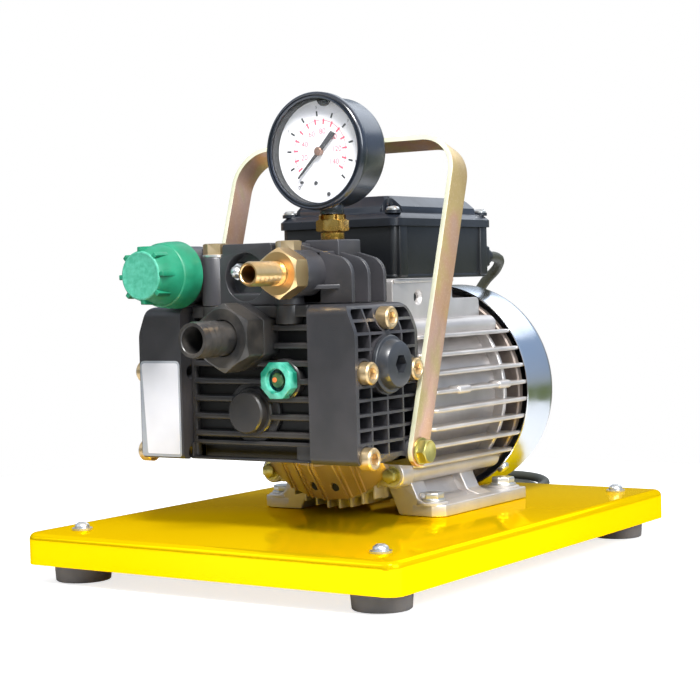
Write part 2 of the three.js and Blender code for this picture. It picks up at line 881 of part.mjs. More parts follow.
place(drive, 'terminal_box', terminalBox(), blackPlastic);
place(drive, 'terminal_lid', terminalLid(), blackPlastic);
place(drive, 'run_capacitor', runCapacitor(), greyPlastic);
place(drive, 'cable_gland', cableGland(), blackPlastic);

// Crankcase: ribbed block that holds the crank, with a pocket for each diaphragm.
function frontSlots() {
  const slots = [];
  const gap = ribPitch - ribThickness;
  const reach = caseHalf + overrun;
  for (let k = 0; k < ribCount; k += 1) {
    const z = lowestRib + k * ribPitch + ribThickness / 2;
    const top = Math.min(z + gap, headTop - ribThickness);
    if (top > z) slots.push(box([-reach, caseFront - overrun, z], [reach, caseFront + ribDepth, top]));
  }
  return slots;
}

function sidePockets() {
  const rim = turnX(rod(diaphragmRadius + seat, diaphragmInner - seat, caseHalf + overrun));
  const inward = diaphragmInner - throwRadius - pistonDisc;
  const well = turnX(rod(pistonDiscRadius + 2 * running, inward, diaphragmInner + seat), roundSides);
  const guide = turnX(rod(pistonRodRadius + running, 0, diaphragmInner), smallSides);
  const right = [rim, well, guide].map((tool) => tool.translate(0, crankY, 0));
  return [...right, ...right.map(mirrorX)];
}

function screwHoles() {
  const holes = [];
  for (const [y, z] of headScrewPlaces.concat([[handleBoltY, screwLowZ]])) {
    const hole = turnX(rod(screwRadius + seat, caseHalf - screwReach, caseHalf + overrun), smallSides);
    holes.push(hole.translate(0, y, z));
  }
  return [...holes, ...holes.map(mirrorX)];
}

const headScrewPlaces = [
  [screwFrontY, screwHighZ], [screwFrontY, screwLowZ], [screwBackY, screwHighZ], [headMidY, screwTopZ],
];

function crankcase() {
  const block = box([-caseHalf, caseFront, headBottom + seat], [caseHalf, headBack, headTop]);
  const capBoss = turnY(rod(capRadius + plateSheet, caseFront - seat, caseFront + 2 * ribDepth));
  const sightBoss = turnY(rod(sightAcrossFlats / 2, caseFront, caseFront + 2 * ribDepth), smallSides);
  const suctionBase = turnY(rod(suctionBossRadius, caseFront - suctionBoss, caseFront + 2 * ribDepth));
  const stub = turnY(rod(suctionStubRadius, caseFront - suctionBoss - suctionStub, caseFront));
  const port = turnY(rod(suctionTailBore, caseFront - suctionBoss - suctionStub - overrun,
    caseFront - suctionBoss - suctionStub + portDepth), smallSides);
  const columns = [-1, 1].map((side) =>
    turnZ(rod(columnRadius, headTop - manifoldBoltReach - overrun, headTop), smallSides)
      .translate(side * columnX, columnY, 0));
  const threads = [screwHighZ, screwLowZ].flatMap((z) => {
    const boss = turnX(rod(threadBossRadius, caseHalf - screwReach - threadBossWall, caseHalf), smallSides)
      .translate(0, screwFrontY, z);
    return [boss, mirrorX(boss)];
  });
  const bosses = [
    ...threads, capBoss, sightBoss.translate(sightX, 0, sightZ), suctionBase.translate(0, 0, suctionZ), ...columns,
  ];
  const ribbed = cut(block, ...frontSlots());
  const body = join(ribbed, ...bosses, stub.translate(0, 0, suctionZ));
  const crank = box([-crankHalfX, crankY - chamberFloorBack, -crankHalfZ],
    [crankHalfX, headBack + overrun, crankHalfZ]);
  const nose = turnY(rod(bearingRadius + seat, crankBearingFront, crankY));
  const sight = turnY(rod(sightStemRadius + seat, caseFront - overrun, caseFront + sightStem + seat), smallSides);
  const bolts = [-1, 1].map((side) =>
    turnZ(rod(screwRadius + seat, headTop - manifoldBoltReach - seat, headTop + overrun), smallSides)
      .translate(side * columnX, columnY, 0));
  return cut(body, crank, nose, port.translate(0, 0, suctionZ), sight.translate(sightX, 0, sightZ),
    ...bolts, ...sidePockets(), ...screwHoles());
}

function pumpAdapter() {
  const disc = turnY(rod(adapterRadius, adapterFront, adapterBack), fineSides);
  return cut(disc, turnY(rod(adapterBore, adapterFront - overrun, adapterBack + overrun)));
}

function bearingCap() {
  const back = caseFront - 2 * seat;
  return turnY([
    [0, back - capHeight], [capRadius - capStep, back - capHeight], [capRadius, back - capHeight + capStep],
    [capRadius, back], [0, back],
  ]);
}

function oilSightPlug() {
  const back = caseFront - seat;
  const head = turnY(rod(sightAcrossFlats / 2 / Math.cos(Math.PI / 8), back - sightHeight, back), 8);
  const stem = turnY(rod(sightStemRadius, back - seat, caseFront + sightStem), smallSides);
  const dish = turnY(rod(sightDishRadius, back - sightHeight - overrun, back - sightHeight + sightDish));
  return cut(join(head, stem), dish).translate(sightX, 0, sightZ);
}

place(drive, 'crankcase', crankcase(), pumpBlack);
place(drive, 'pump_adapter', pumpAdapter(), pumpBlack);
place(drive, 'bearing_cap', bearingCap(), blackPlastic);
place(drive, 'oil_sight_plug', oilSightPlug(), greenClear);

// Heads: each a block with a grid of pockets in its outer face.
function keepsSolid(y, z) {
  const near = headScrewPlaces.some(([py, pz]) => Math.hypot(y - py, z - pz) < screwBossRadius);
  return near || Math.hypot(y - headMidY, z - plugZ) < plugFlangeRadius;
}

function gridPockets() {
  const cells = [];
  const [front, back] = [headFront + gridBorder, headBack - gridBorder];
  const [bottom, top] = [headBottom + gridBorder, headTop - gridBorder];
  for (let column = 0; column < gridColumns; column += 1) {
    const y = headMidY + (column - gridColumns / 2) * gridPitchY;
    const low = Math.max(y + gridRib / 2, front);
    const high = Math.min(y + gridPitchY - gridRib / 2, back);
    for (let row = 0; row <= gridRows; row += 1) {
      const z = gridLowest + row * gridPitchZ;
      const floor = Math.max(z + gridRib / 2, bottom);
      const roof = Math.min(z + gridPitchZ - gridRib / 2, top);
      if (high - low < gridRib || roof - floor < gridRib) continue;
      if (keepsSolid((low + high) / 2, (floor + roof) / 2)) continue;
      cells.push(box([headOuter - gridDepth, low, floor], [headOuter + overrun, high, roof]));
    }
  }
  return cells;
}

function headBlock() {
  const top = [headCorner, headCorner];
  const foot = [headCorner / 2, headCorner / 2];
  return prismX(roundedOutline([headFront, headBottom], [headBack, headTop], [...foot, ...top]),
    headInner, headOuter);
}

function pumpHead() {
  const keepers = headScrewPlaces.map(([y, z]) =>
    turnX(rod(screwBossRadius, headInner, headOuter + 2 * overrun), smallSides).translate(0, y, z));
  const plugKeeper = turnX(rod(plugFlangeRadius, headInner, headOuter + 2 * overrun));
  keepers.push(plugKeeper.translate(0, headMidY, plugZ));
  const boltBoss = turnX(rod(screwBossRadius, headInner, handleInner - seat), smallSides);
  const pockets = cut(join(...gridPockets()), ...keepers);
  const body = join(cut(headBlock(), pockets), boltBoss.translate(0, handleBoltY, screwLowZ));
  const holes = headScrewPlaces.concat([[handleBoltY, screwLowZ]]).map(([y, z]) =>
    turnX(rod(screwRadius + seat, headInner - overrun, headOuter + 2 * overrun), smallSides).translate(0, y, z));
  const sinks = headScrewPlaces.map(([y, z]) =>
    turnX(rod(screwHeadRadius + 2 * seat, screwSeat, headOuter + overrun), smallSides).translate(0, y, z));
  const chamber = turnX(rod(chamberRadius, headInner - overrun, headInner + chamberDepth));
  const valve = turnX(rod(plugThreadRadius + seat, headOuter - plugThread - seat, headOuter + overrun));
  const passage = turnX(rod(passageRadius, headInner, headOuter - plugThread + overrun), smallSides);
  return cut(body, ...holes, ...sinks, chamber.translate(0, crankY, 0),
    valve.translate(0, headMidY, plugZ), passage.translate(0, crankY, passageZ));
}

function capScrew() {
  const top = screwSeat + seat + screwHeadHeight;
  const body = turnX([
    [0, caseHalf - screwReach + seat], [screwRadius, caseHalf - screwReach + seat],
    [screwRadius, screwSeat + seat], [screwHeadRadius, screwSeat + seat], [screwHeadRadius, top], [0, top],
  ], smallSides);
  return cut(body, turnX(hexagon(screwSocket, top - screwSocketDepth, top + overrun), 6));
}

function hexBolt(turn, from, washer) {
  const head = washer + washerThickness;
  const shank = turn([
    [0, from], [screwRadius, from], [screwRadius, washer], [washerRadius, washer], [washerRadius, head],
    [0, head],
  ], smallSides);
  return join(shank, turn(hexagon(boltAcrossFlats, head - seat, head + boltHeadHeight), 6));
}

function valvePlug() {
  const flange = headOuter + seat;
  const dome = flange + plugFlange;
  const edge = plugDome / 3;
  const body = turnX([
    [0, headOuter - plugThread], [plugThreadRadius, headOuter - plugThread], [plugThreadRadius, flange],
    [plugFlangeRadius, flange], [plugFlangeRadius, dome], [plugDomeRadius, dome + edge / 2],
    [plugDomeRadius, dome + plugDome - edge], [plugDomeRadius - edge, dome + plugDome],
    [0, dome + plugDome],
  ]);
  const socket = turnX(hexagon(plugSocket, dome + plugDome - plugSocketDepth, dome + plugDome + overrun), 6);
  return cut(body, socket).translate(0, headMidY, plugZ);
}

const sides = [['left', mirrorX], ['right', (geometry) => geometry]];
for (const [side, turned] of sides) {
  place(drive, `${side}_head`, turned(pumpHead()), pumpBlack);
  place(drive, `${side}_valve_plug`, turned(valvePlug()), blackPlastic);
  headScrewPlaces.forEach(([y, z], k) => {
    place(drive, `${side}_head_screw_${k + 1}`, turned(capScrew().translate(0, y, z)), yellowZinc);
  });
  const bolt = hexBolt(turnX, caseHalf - screwReach + seat, handleHalf + seat);
  place(drive, `handle_bolt_${side}`, turned(bolt.translate(0, handleBoltY, screwLowZ)), yellowZinc);
}

// Crank drive: an eccentric turns in a yoke that carries a disc at each diaphragm.
function eccentric() {
  const from = crankY - eccentricWidth / 2;
  const wheel = turnY(rod(eccentricRadius, from, from + eccentricWidth)).translate(0, 0, throwRadius);
  return cut(wheel, turnY(rod(shaftRadius + seat, from - overrun, from + eccentricWidth + overrun)));
}

function pistonYoke() {
  const [near, far] = [crankY - yokeWidth / 2, crankY + yokeWidth / 2];
  const frame = box([-yokeHalfX, near, -yokeHalfZ], [yokeHalfX, far, yokeHalfZ]);
  const window = box([-windowHalfX, near - overrun, -windowHalfZ], [windowHalfX, far + overrun, windowHalfZ]);
  const end = diaphragmInner + diaphragmThickness;
  const rods = turnX(rod(pistonRodRadius, -end + pistonDisc, end - pistonDisc), smallSides);
  const disc = turnX(rod(pistonDiscRadius, diaphragmInner - seat, end), roundSides);
  const solid = join(frame, rods.translate(0, crankY, 0), disc.translate(0, crankY, 0),
    mirrorX(disc));
  return cut(solid, window);
}

function diaphragm() {
  const inner = pistonDiscRadius + running;
  return turnX(ring(inner, diaphragmRadius, diaphragmInner, diaphragmInner + diaphragmThickness))
    .translate(0, crankY, 0);
}

place(drive, 'eccentric', eccentric(), steel);
place(drive, 'piston_yoke', pistonYoke(), castAluminium);
for (const [side, turned] of sides) place(drive, `${side}_diaphragm`, turned(diaphragm()), blackRubber);

// Manifold: bridge over both heads that carries the gauge, the regulator and the delivery.
function webPockets() {
  const pockets = [];
  const gap = (manifoldDepth - 3 * manifoldWeb) / 2;
  for (let k = 0; k < 2; k += 1) {
    const from = manifoldFront + manifoldWeb + k * (gap + manifoldWeb);
    const right = box([manifoldCore, from, manifoldBottom - overrun],
      [manifoldHalfWidth + overrun, from + gap, manifoldTop + overrun]);
    pockets.push(right, mirrorX(right));
  }
  return pockets;
}

function deliveryGusset() {
  const top = deliveryZ - gussetDrop;
  const outline = polygon([[deliveryX, manifoldFront - deliveryBoss + overrun],
    [deliveryX + gussetLength, manifoldFront], [deliveryX + gussetLength, manifoldFront + seat],
    [deliveryX, manifoldFront + seat]]);
  return prismZ(outline, top - gussetThickness, top);
}

function manifold() {
  const corner = manifoldCorner;
  const outline = roundedOutline([-manifoldHalfWidth, manifoldBottom], [manifoldHalfWidth, manifoldTop],
    [plateSheet, plateSheet, corner, corner]);
  const bridge = cut(prismY(outline, manifoldFront, manifoldBack), ...webPockets());
  const block = box([-frontBlockHalf, manifoldFront - frontBlock, manifoldBottom],
    [frontBlockHalf, manifoldFront + seat, manifoldTop - seat]);
  const arch = turnY(rod(archRadius, manifoldFront - frontBlock - overrun,
    manifoldFront - frontBlock + archDepth)).translate(archX, 0, archZ);
  const stud = turnY(rod(studRadius, manifoldFront - studHeight, manifoldFront), smallSides)
    .translate(archX, 0, archZ);
  const columns = [-1, 1].map((side) =>
    turnZ(rod(columnRadius, manifoldBottom, columnTop)).translate(side * columnX, columnY, 0));
  const halfBoss = gaugeBoss / 2;
  const gaugeBase = box([gaugeX - halfBoss, gaugeStemY - halfBoss, manifoldTop - 2 * gaugeCollar],
    [gaugeX + halfBoss, gaugeStemY + halfBoss, gaugeBossTop]);
  const delivery = turnY(rod(deliveryBossRadius, manifoldFront - deliveryBoss, manifoldFront + overrun))
    .translate(deliveryX, 0, deliveryZ);
  const stub = turnY(rod(deliveryStubRadius, manifoldFront - deliveryBoss - deliveryStub, manifoldFront))
    .translate(deliveryX, 0, deliveryZ);
  const deliveryEnd = manifoldFront - deliveryBoss - deliveryStub;
  const port = turnY(rod(deliveryTailBore, deliveryEnd - overrun, deliveryEnd + portDepth), smallSides)
    .translate(deliveryX, 0, deliveryZ);
  const regulator = turnY(rod(regulatorBossRadius, manifoldFront - regulatorBoss, manifoldFront + overrun))
    .translate(knobX, 0, knobZ);
  const regulatorEnd = manifoldFront - regulatorBoss;
  const well = turnY(rod(regulatorBore, regulatorEnd - overrun, regulatorEnd + regulatorBoreDepth), smallSides)
    .translate(knobX, 0, knobZ);
  const thread = turnZ(rod(gaugeThreadRadius + seat, gaugeBossTop - gaugeThread - seat, gaugeBossTop + overrun),
    smallSides).translate(gaugeX, gaugeStemY, 0);
  const bolts = [-1, 1].map((side) =>
    turnZ(rod(screwRadius + seat, manifoldBottom - overrun, columnTop + overrun), smallSides)
      .translate(side * columnX, columnY, 0));
  const keepHalf = regulatorBore + manifoldWeb;
  const keep = box([knobX - keepHalf, manifoldFront, knobZ - keepHalf],
    [knobX + keepHalf, regulatorEnd + regulatorBoreDepth + manifoldWeb, knobZ + regulatorBore]);
  const front = join(cut(block, arch), stud, ...columns);
  const body = join(bridge, front, keep, gaugeBase, delivery, stub, deliveryGusset(), regulator);
  return cut(body, port, well, thread, ...bolts);
}

place(drive, 'manifold', manifold(), pumpBlack);
for (const [side, sx] of [['left', -1], ['right', 1]]) {
  const bolt = hexBolt(turnZ, headTop - manifoldBoltReach, columnTop + seat);
  place(drive, `manifold_bolt_${side}`, bolt.translate(sx * columnX, columnY, 0), yellowZinc);
}

// Hose tail: a flange that the nut holds, then a barbed spout. Lengths run towards -Y.
function hoseTail(back, flangeRadius, radius, bore, length, barbs) {
  const front = back - flangeThickness;
  const outline = [[bore, back], [flangeRadius, back], [flangeRadius, front], [radius - barbStep, front]];
  const smooth = length / 3;
  const pitch = (length - smooth) / barbs;
  outline.push([radius - barbStep, front - smooth]);
  for (let k = 0; k < barbs; k += 1) {
    const from = front - smooth - k * pitch;
    outline.push([radius, from], [radius - barbStep, from - pitch]);
  }
  outline.push([bore, front - length], [bore, back]);
  return turnY(outline);
}

function unionNut(back, length, flats, bore, lip, hole) {
  const body = turnY(hexagon(flats, back - length, back), 6);
  const cone = turnY([
    [0, back - length], [flats / 2, back - length], [flats / Math.sqrt(3) + overrun, back - length + lip * 2],
    [flats / Math.sqrt(3) + overrun, back + overrun], [0, back + overrun],
  ]);
  const wide = turnY(rod(bore, back - length + lip, back + overrun));
  const narrow = turnY(rod(hole, back - length - overrun, back), roundSides);
  return cut(common(body, cone), wide, narrow);
}

const suctionEnd = caseFront - suctionBoss - suctionStub;
const deliveryStubEnd = manifoldFront - deliveryBoss - deliveryStub;
place(drive, 'suction_tail', hoseTail(suctionEnd - seat, suctionStubRadius, suctionTailRadius,
  suctionTailBore, suctionTail, suctionBarbs), blackPlastic).position.z = suctionZ;
place(drive, 'suction_nut', unionNut(caseFront - suctionBoss - seat, suctionNut, suctionNutFlats,
  suctionStubRadius + seat, suctionLip, suctionTailRadius + seat), blackPlastic).position.z = suctionZ;
place(drive, 'delivery_tail', hoseTail(deliveryStubEnd - seat, deliveryStubRadius, deliveryTailRadius,
  deliveryTailBore, deliveryTail, deliveryBarbs), brass).position.set(deliveryX, 0, deliveryZ);
place(drive, 'delivery_nut', unionNut(manifoldFront - deliveryBoss - seat, deliveryNut, deliveryNutFlats,
  deliveryStubRadius + seat, deliveryLip, deliveryTailRadius + seat), brass)
  .position.set(deliveryX, 0, deliveryZ);

// Regulator: the knob turns on the pusher, which moves in against the spring.
function regulatorKnob() {
  const face = knobRear - knobLength;
  const edge = knobWingRise;
  const body = turnY([
    [0, face], [knobFaceRadius, face], [knobWaistRadius, knobRear - knobRim],
    [knobRimRadius, knobRear - edge], [knobRimRadius, knobRear], [0, knobRear],
  ]);
  const wings = [];
  for (let k = 0; k < knobWings; k += 1) {
    const reach = knobFaceRadius + knobWingRise;
    const outline = polygon([[0, face + seat], [reach, face + seat], [reach, knobRear - knobRim], [0, knobRear - knobRim]]);
    const wing = prismZ(outline, -knobWing / 2, knobWing / 2);
    wings.push(wing.rotateY(2 * Math.PI * k / knobWings));
  }
  const skirtRadius = (regulatorBossRadius + running) / Math.cos(Math.PI / roundSides);
  const skirt = turnY(rod(skirtRadius, knobRear - knobSkirtDepth, knobRear + overrun));
  const threadRadius = (stemRadius + seat) / Math.cos(Math.PI / smallSides);
  const thread = turnY(rod(threadRadius, knobRear - stemLength / 2, knobRear), smallSides);
  return cut(join(body, ...wings), skirt, thread);
}

function regulatorPusher() {
  const front = knobRear - stemLength / 2 + seat;
  const back = front + stemLength;
  return turnY([
    [0, front], [stemRadius, front], [stemRadius, back - stemPlate], [stemPlateRadius, back - stemPlate],
    [stemPlateRadius, back], [0, back],
  ], smallSides);
}

function regulatorSpring() {
  const end = manifoldFront - regulatorBoss + regulatorBoreDepth - seat;
  const start = knobRear + stemLength / 2 + seat + knobTravel + seat;
  return turnY(ring(springRadius - springWall, springRadius, start, end), smallSides);
}

place(drive, 'regulator_knob', regulatorKnob(), greenPlastic).position.set(knobX, 0, knobZ);
place(drive, 'regulator_pusher', regulatorPusher(), brass).position.set(knobX, 0, knobZ);
place(drive, 'regulator_spring', regulatorSpring(), steel).position.set(knobX, 0, knobZ);

// Gauge on its fitting, its dial facing -Y.
const gauge = new THREE.Group();
gauge.position.set(gaugeX, 0, gaugeZ);
drive.add(gauge);
const neckBottom = gaugeBossTop + seat + gaugeCollar + gaugeHex + seat;
const dialFront = gaugeFace + gaugeDialDepth;

function gaugeFitting() {
  const collar = gaugeBossTop + seat;
  const hexFrom = collar + gaugeCollar;
  const stem = turnZ([
    [0, gaugeBossTop - gaugeThread], [gaugeThreadRadius, gaugeBossTop - gaugeThread],
    [gaugeThreadRadius, collar], [gaugeCollarRadius, collar], [gaugeCollarRadius, hexFrom + seat],
    [0, hexFrom + seat],
  ], smallSides);
  return join(stem, turnZ(hexagon(gaugeHexFlats, hexFrom, hexFrom + gaugeHex), 6));
}

function gaugeCase() {
  const back = gaugeFace + gaugeDepth;
  const cavity = gaugeCaseRadius - gaugeWall;
  const shell = turnY([
    [gaugeLipRadius, gaugeFace], [gaugeBezelRadius - gaugeWall, gaugeFace],
    [gaugeBezelRadius, gaugeFace + gaugeWall], [gaugeBezelRadius, gaugeFace + gaugeBezel],
    [gaugeCaseRadius, gaugeFace + gaugeBezel], [gaugeCaseRadius, back - gaugeWall],
    [gaugeCaseRadius - gaugeWall, back], [0, back], [0, dialFront + gaugeDialThickness + gaugeWall],
    [cavity, dialFront + gaugeDialThickness + gaugeWall], [cavity, gaugeFace + gaugeLip],
    [gaugeLipRadius, gaugeFace + gaugeLip], [gaugeLipRadius, gaugeFace],
  ], fineSides);
  const neck = turnZ(rod(gaugeNeckRadius, neckBottom - gaugeZ, -gaugeCaseRadius + gaugeWall), smallSides);
  return join(shell, neck.translate(0, gaugeStemY, 0));
}

function gaugeDial() {
  const radius = gaugeCaseRadius - gaugeWall - seat;
  const back = dialFront + gaugeDialThickness + gaugeWall - seat;
  return turnY(rod(radius, dialFront, back), fineSides);
}

function gaugePane() {
  const from = gaugeFace + gaugeLip + seat;
  return turnY(rod(gaugeCaseRadius - gaugeWall - seat, from, from + gaugeGlass), fineSides);
}

function gaugePointer() {
  const back = dialFront - running;
  const blade = polygon([[-pointerWidth / 2, 0], [-pointerWidth / 4, -pointerTip], [pointerWidth / 4, -pointerTip],
    [pointerWidth / 2, 0], [pointerTailWidth / 2, pointerTail], [-pointerTailWidth / 2, pointerTail]]);
  const hub = turnY(rod(pointerHubRadius, back - pointerHub, back));
  const middle = back - pointerHub / 2;
  return join(prismY(blade, middle, middle + pointerThickness), hub).rotateY(pointerRest);
}

place(drive, 'gauge_fitting', gaugeFitting().translate(gaugeX, gaugeStemY, 0), brass);
place(gauge, 'gauge_case', gaugeCase(), blackPlastic);
place(gauge, 'gauge_glass', gaugePane(), clearPane);
place(gauge, 'gauge_dial', gaugeDial(), whiteDial);
place(gauge, 'gauge_pointer', gaugePointer(), blackPlastic);

// Handle: flat bar bent to a U, hung on the lower rear bolt of each head.
const swing = new THREE.Group();
swing.position.set(0, handleBoltY, screwLowZ);
swing.rotation.x = -THREE.MathUtils.degToRad(handleTilt);
drive.add(swing);

function carryHandle() {
  const outer = roundedOutline([-handleHalf, -handleWidth / 2], [handleHalf, handleReach],
    [plateSheet, plateSheet, handleBend, handleBend]);
  const small = handleBend - handleThickness;
  const inner = roundedOutline([-handleInner, -handleWidth], [handleInner, handleReach - handleThickness],
    [plateSheet, plateSheet, small, small]);
  const bar = cut(prismY(outer, -handleWidth / 2, handleWidth / 2),
    prismY(inner, -handleWidth, handleWidth));
  const ends = roundedOutline([-handleWidth / 2, -handleWidth / 2], [handleWidth / 2, handleReach + overrun],
    [handleWidth / 2 - seat, handleWidth / 2 - seat, plateSheet, plateSheet]);
  const round = prismX(ends, -handleHalf - overrun, handleHalf + overrun);
  const eye = turnX(rod(handleEyeRadius, -handleHalf - overrun, handleHalf + overrun), smallSides);
  return cut(common(bar, round), eye);
}

place(swing, 'handle', carryHandle(), yellowZinc);

// Mains lead: down behind the fan cover, over the tray's edge and to the coil on the floor.
function cordTube() {
  const curve = new THREE.CatmullRomCurve3(cordRoute.map((p) => new THREE.Vector3(...p)), false, 'centripetal');
  const section = new THREE.Shape();
  for (let k = 0; k < cordSides; k += 1) {
    const angle = 2 * Math.PI * k / cordSides;
    const point = [cordDiameter / 2 * Math.cos(angle), cordDiameter / 2 * Math.sin(angle)];
    if (k === 0) section.moveTo(...point);
    else section.lineTo(...point);
  }
  const steps = Math.round(curve.getLength() / cordStep);
  return new THREE.ExtrudeGeometry(section, { steps, extrudePath: curve, bevelEnabled: false });
}

// Centre of the coiled lead at a number of turns from its start: in, up a layer, out again.
const coilStart = coilRadius + turnsIn * coilPitch / 2;
const coilTurns = turnsIn + turnsOver + turnsOut;
const routeEnd = cordRoute[cordRoute.length - 1];
const coilCentreX = routeEnd[0] - coilStart;
const coilCentreY = routeEnd[1] + seat + cordDiameter;

function eased(share) {
  return (1 - Math.cos(Math.PI * share)) / 2;
}

function coilPoint(turn) {
  const inward = Math.min(turn, turnsIn);
  const climbing = THREE.MathUtils.clamp((turn - turnsIn) / turnsOver, 0, 1);
  const outward = Math.max(turn - turnsIn - turnsOver, 0);
  const radius = coilStart - coilPitch * (inward - outward) - coilDip * Math.sin(Math.PI * climbing);
  const angle = 2 * Math.PI * turn;
  const leaving = Math.max(1 - (coilTurns - turn) / turnsOver, 0);
  const low = cordDiameter / 2 + seat;
  const high = low + coilLayer;
  const z = low + coilLayer * eased(climbing) + (plugBodyRadius + seat - high) * eased(leaving);
  return new THREE.Vector3(radius * Math.cos(angle), radius * Math.sin(angle), z);
}

function coilPath() {
  const points = [];
  const count = Math.round(coilTurns * coilSteps);
  for (let k = 0; k <= count; k += 1) points.push(coilPoint(k / coilSteps));
  const lead = points[0].clone().add(new THREE.Vector3(0, -cordDiameter, 0));
  const last = points[points.length - 1];
  const tail = last.clone().add(new THREE.Vector3(-cordDiameter, 0, 0));
  return [lead, ...points, tail];
}

// A tube of flat-sided rings along a path that lies nearly level.
function levelTube(path, radius, sideCount) {
  const up = new THREE.Vector3(0, 0, 1);
  const rings = path.map((point, i) => {
    const before = path[Math.max(i - 1, 0)];
    const after = path[Math.min(i + 1, path.length - 1)];
    const across = after.clone().sub(before).cross(up).normalize();
    const along = up.clone().cross(across).normalize();
    const lift = across.clone().cross(along).negate();
    const ringPoints = [];
    for (let k = 0; k < sideCount; k += 1) {
      const angle = 2 * Math.PI * k / sideCount;
      ringPoints.push(point.clone().addScaledVector(across, radius * Math.cos(angle))
        .addScaledVector(lift, radius * Math.sin(angle)));
    }
    return ringPoints;
  });
  return ringBody(rings);
}

function leastSelfGap(path) {
  let least = Infinity;
  for (let i = 0; i < path.length; i += 1) {
    for (let j = i + coilSteps / 2; j < path.length; j += 1) {
      const [a, b] = [path[i], path[j]];
      least = Math.min(least, a.distanceTo(b));
    }
  }
  return least - cordDiameter;
}

function mainsPlug() {
  const tail = coilPath().pop();
  const from = coilCentreX + tail.x - seat;
  const [neck, face] = [from - plugRelief, from - plugRelief - plugBody];
  const body = turnX([
    [0, from], [plugReliefRadius, from], [plugNeckRadius / 1.4, neck], [plugNeckRadius, neck],
    [plugBodyRadius, face + plugBody / 2], [plugBodyRadius, face], [0, face],
  ]);
  const pins = [-1, 1].map((sx) =>
    turnX(rod(plugPinRadius, face - plugPinLength, face + seat), smallSides)
      .translate(0, sx * plugPinPitch / 2, 0));
  return join(body, ...pins).translate(0, coilCentreY + tail.y, 0);
}

console.log('least gap of the coil to itself, mm:', leastSelfGap(coilPath()).toFixed(2));
place(unit, 'power_cord', cordTube(), cordBlack);
place(unit, 'cord_coil', levelTube(coilPath(), cordDiameter / 2, coilSides), cordBlack)
  .position.set(coilCentreX, coilCentreY, 0);
place(unit, 'plug', mainsPlug(), cordBlack).position.z = plugBodyRadius + seat;

export default unit;
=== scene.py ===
import math

import bpy
from mathutils import Matrix, Vector


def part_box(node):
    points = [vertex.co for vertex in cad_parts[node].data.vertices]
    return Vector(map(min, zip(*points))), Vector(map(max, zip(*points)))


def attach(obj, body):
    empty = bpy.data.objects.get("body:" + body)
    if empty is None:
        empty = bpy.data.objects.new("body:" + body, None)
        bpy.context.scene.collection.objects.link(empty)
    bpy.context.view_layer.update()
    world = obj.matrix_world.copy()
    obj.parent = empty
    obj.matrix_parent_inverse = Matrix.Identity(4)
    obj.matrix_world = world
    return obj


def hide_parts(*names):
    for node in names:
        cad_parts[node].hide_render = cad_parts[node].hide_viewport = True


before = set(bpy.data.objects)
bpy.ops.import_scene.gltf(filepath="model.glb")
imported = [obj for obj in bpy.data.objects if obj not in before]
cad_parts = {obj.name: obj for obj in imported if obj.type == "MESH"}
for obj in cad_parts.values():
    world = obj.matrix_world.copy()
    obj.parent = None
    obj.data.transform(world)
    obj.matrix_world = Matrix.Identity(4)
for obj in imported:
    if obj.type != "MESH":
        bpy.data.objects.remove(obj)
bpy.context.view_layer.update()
mm = 0.001
deck = 30  # top of the tray over the floor; the heights below are over the tray, in mm
axle = 71  # shaft over the tray

# places that several pieces share, in the plane across the axis that they lie along
ports = {
    "suction": (0, 115), "delivery": (37, 151), "regulator": (-48, 152), "sight": (23.6, 90),  # x, z
    "chamber": (-83.5, axle), "handleBolt": (-63.4, 46),  # y, z
    "gaugeStem": (38, -81.5),  # x, y
}
manifoldBolts = ((-26.7, -110), (26.7, -110))  # x, y
print("frame loaded")

# camera and backdrop

cameraSpec = {"place": (622.01, -930.78, 175.75), "turn": 34.05, "dip": 2.24, "roll": -1.5, "lens": 90.61}


def makeCamera(spec):
    turn, dip, roll = (math.radians(spec[key]) for key in ("turn", "dip", "roll"))
    ahead = Vector((-math.sin(turn) * math.cos(dip), math.cos(turn) * math.cos(dip), -math.sin(dip)))
    level = Vector((math.cos(turn), math.sin(turn), 0))
    above = level.cross(ahead)
    right = level * math.cos(roll) + above * math.sin(roll)
    up = above * math.cos(roll) - level * math.sin(roll)
    data = bpy.data.cameras.new("camera")
    data.lens, data.sensor_width = spec["lens"], 36
    data.clip_start, data.clip_end = 0.05, 50
    camera = bpy.data.objects.new("camera", data)
    bpy.context.scene.collection.objects.link(camera)
    camera.matrix_world = (
        Matrix.Translation(Vector(spec["place"]) * mm) @ Matrix((right, up, -ahead)).transposed().to_4x4()
    )
    bpy.context.scene.camera = camera


makeCamera(cameraSpec)

# mains lead: the route and the coil are the ones of the solid, in metres

leadSpec = {
    "radius": 0.0035,
    "route": [
        (0.028, 0.1186, 0.19), (0.028, 0.126, 0.19), (0.025, 0.14, 0.1877), (0.0168, 0.1502, 0.1816),
        (0.0056, 0.154, 0.1732), (-0.0022, 0.1546, 0.1624), (-0.006, 0.155, 0.1492), (-0.0066, 0.155, 0.12),
        (-0.0067, 0.155, 0.092), (-0.00675, 0.1556, 0.066), (-0.00675, 0.16, 0.051),
        (-0.00675, 0.1704, 0.0396), (-0.00675, 0.1835, 0.0345), (-0.00675, 0.196, 0.029),
        (-0.00675, 0.206, 0.02), (-0.00675, 0.216, 0.0104), (-0.00675, 0.228, 0.0049),
        (-0.00675, 0.239, 0.0038), (-0.00675, 0.2477, 0.0038),
    ],
    "coilRadius": 0.042, "pitch": 0.0079, "layer": 0.0079, "dip": 0.002,
    "turnsIn": 3, "turnsOver": 0.5, "turnsOut": 2.75, "steps": 36, "plugHeight": 0.0173, "gap": 0.0003,
}


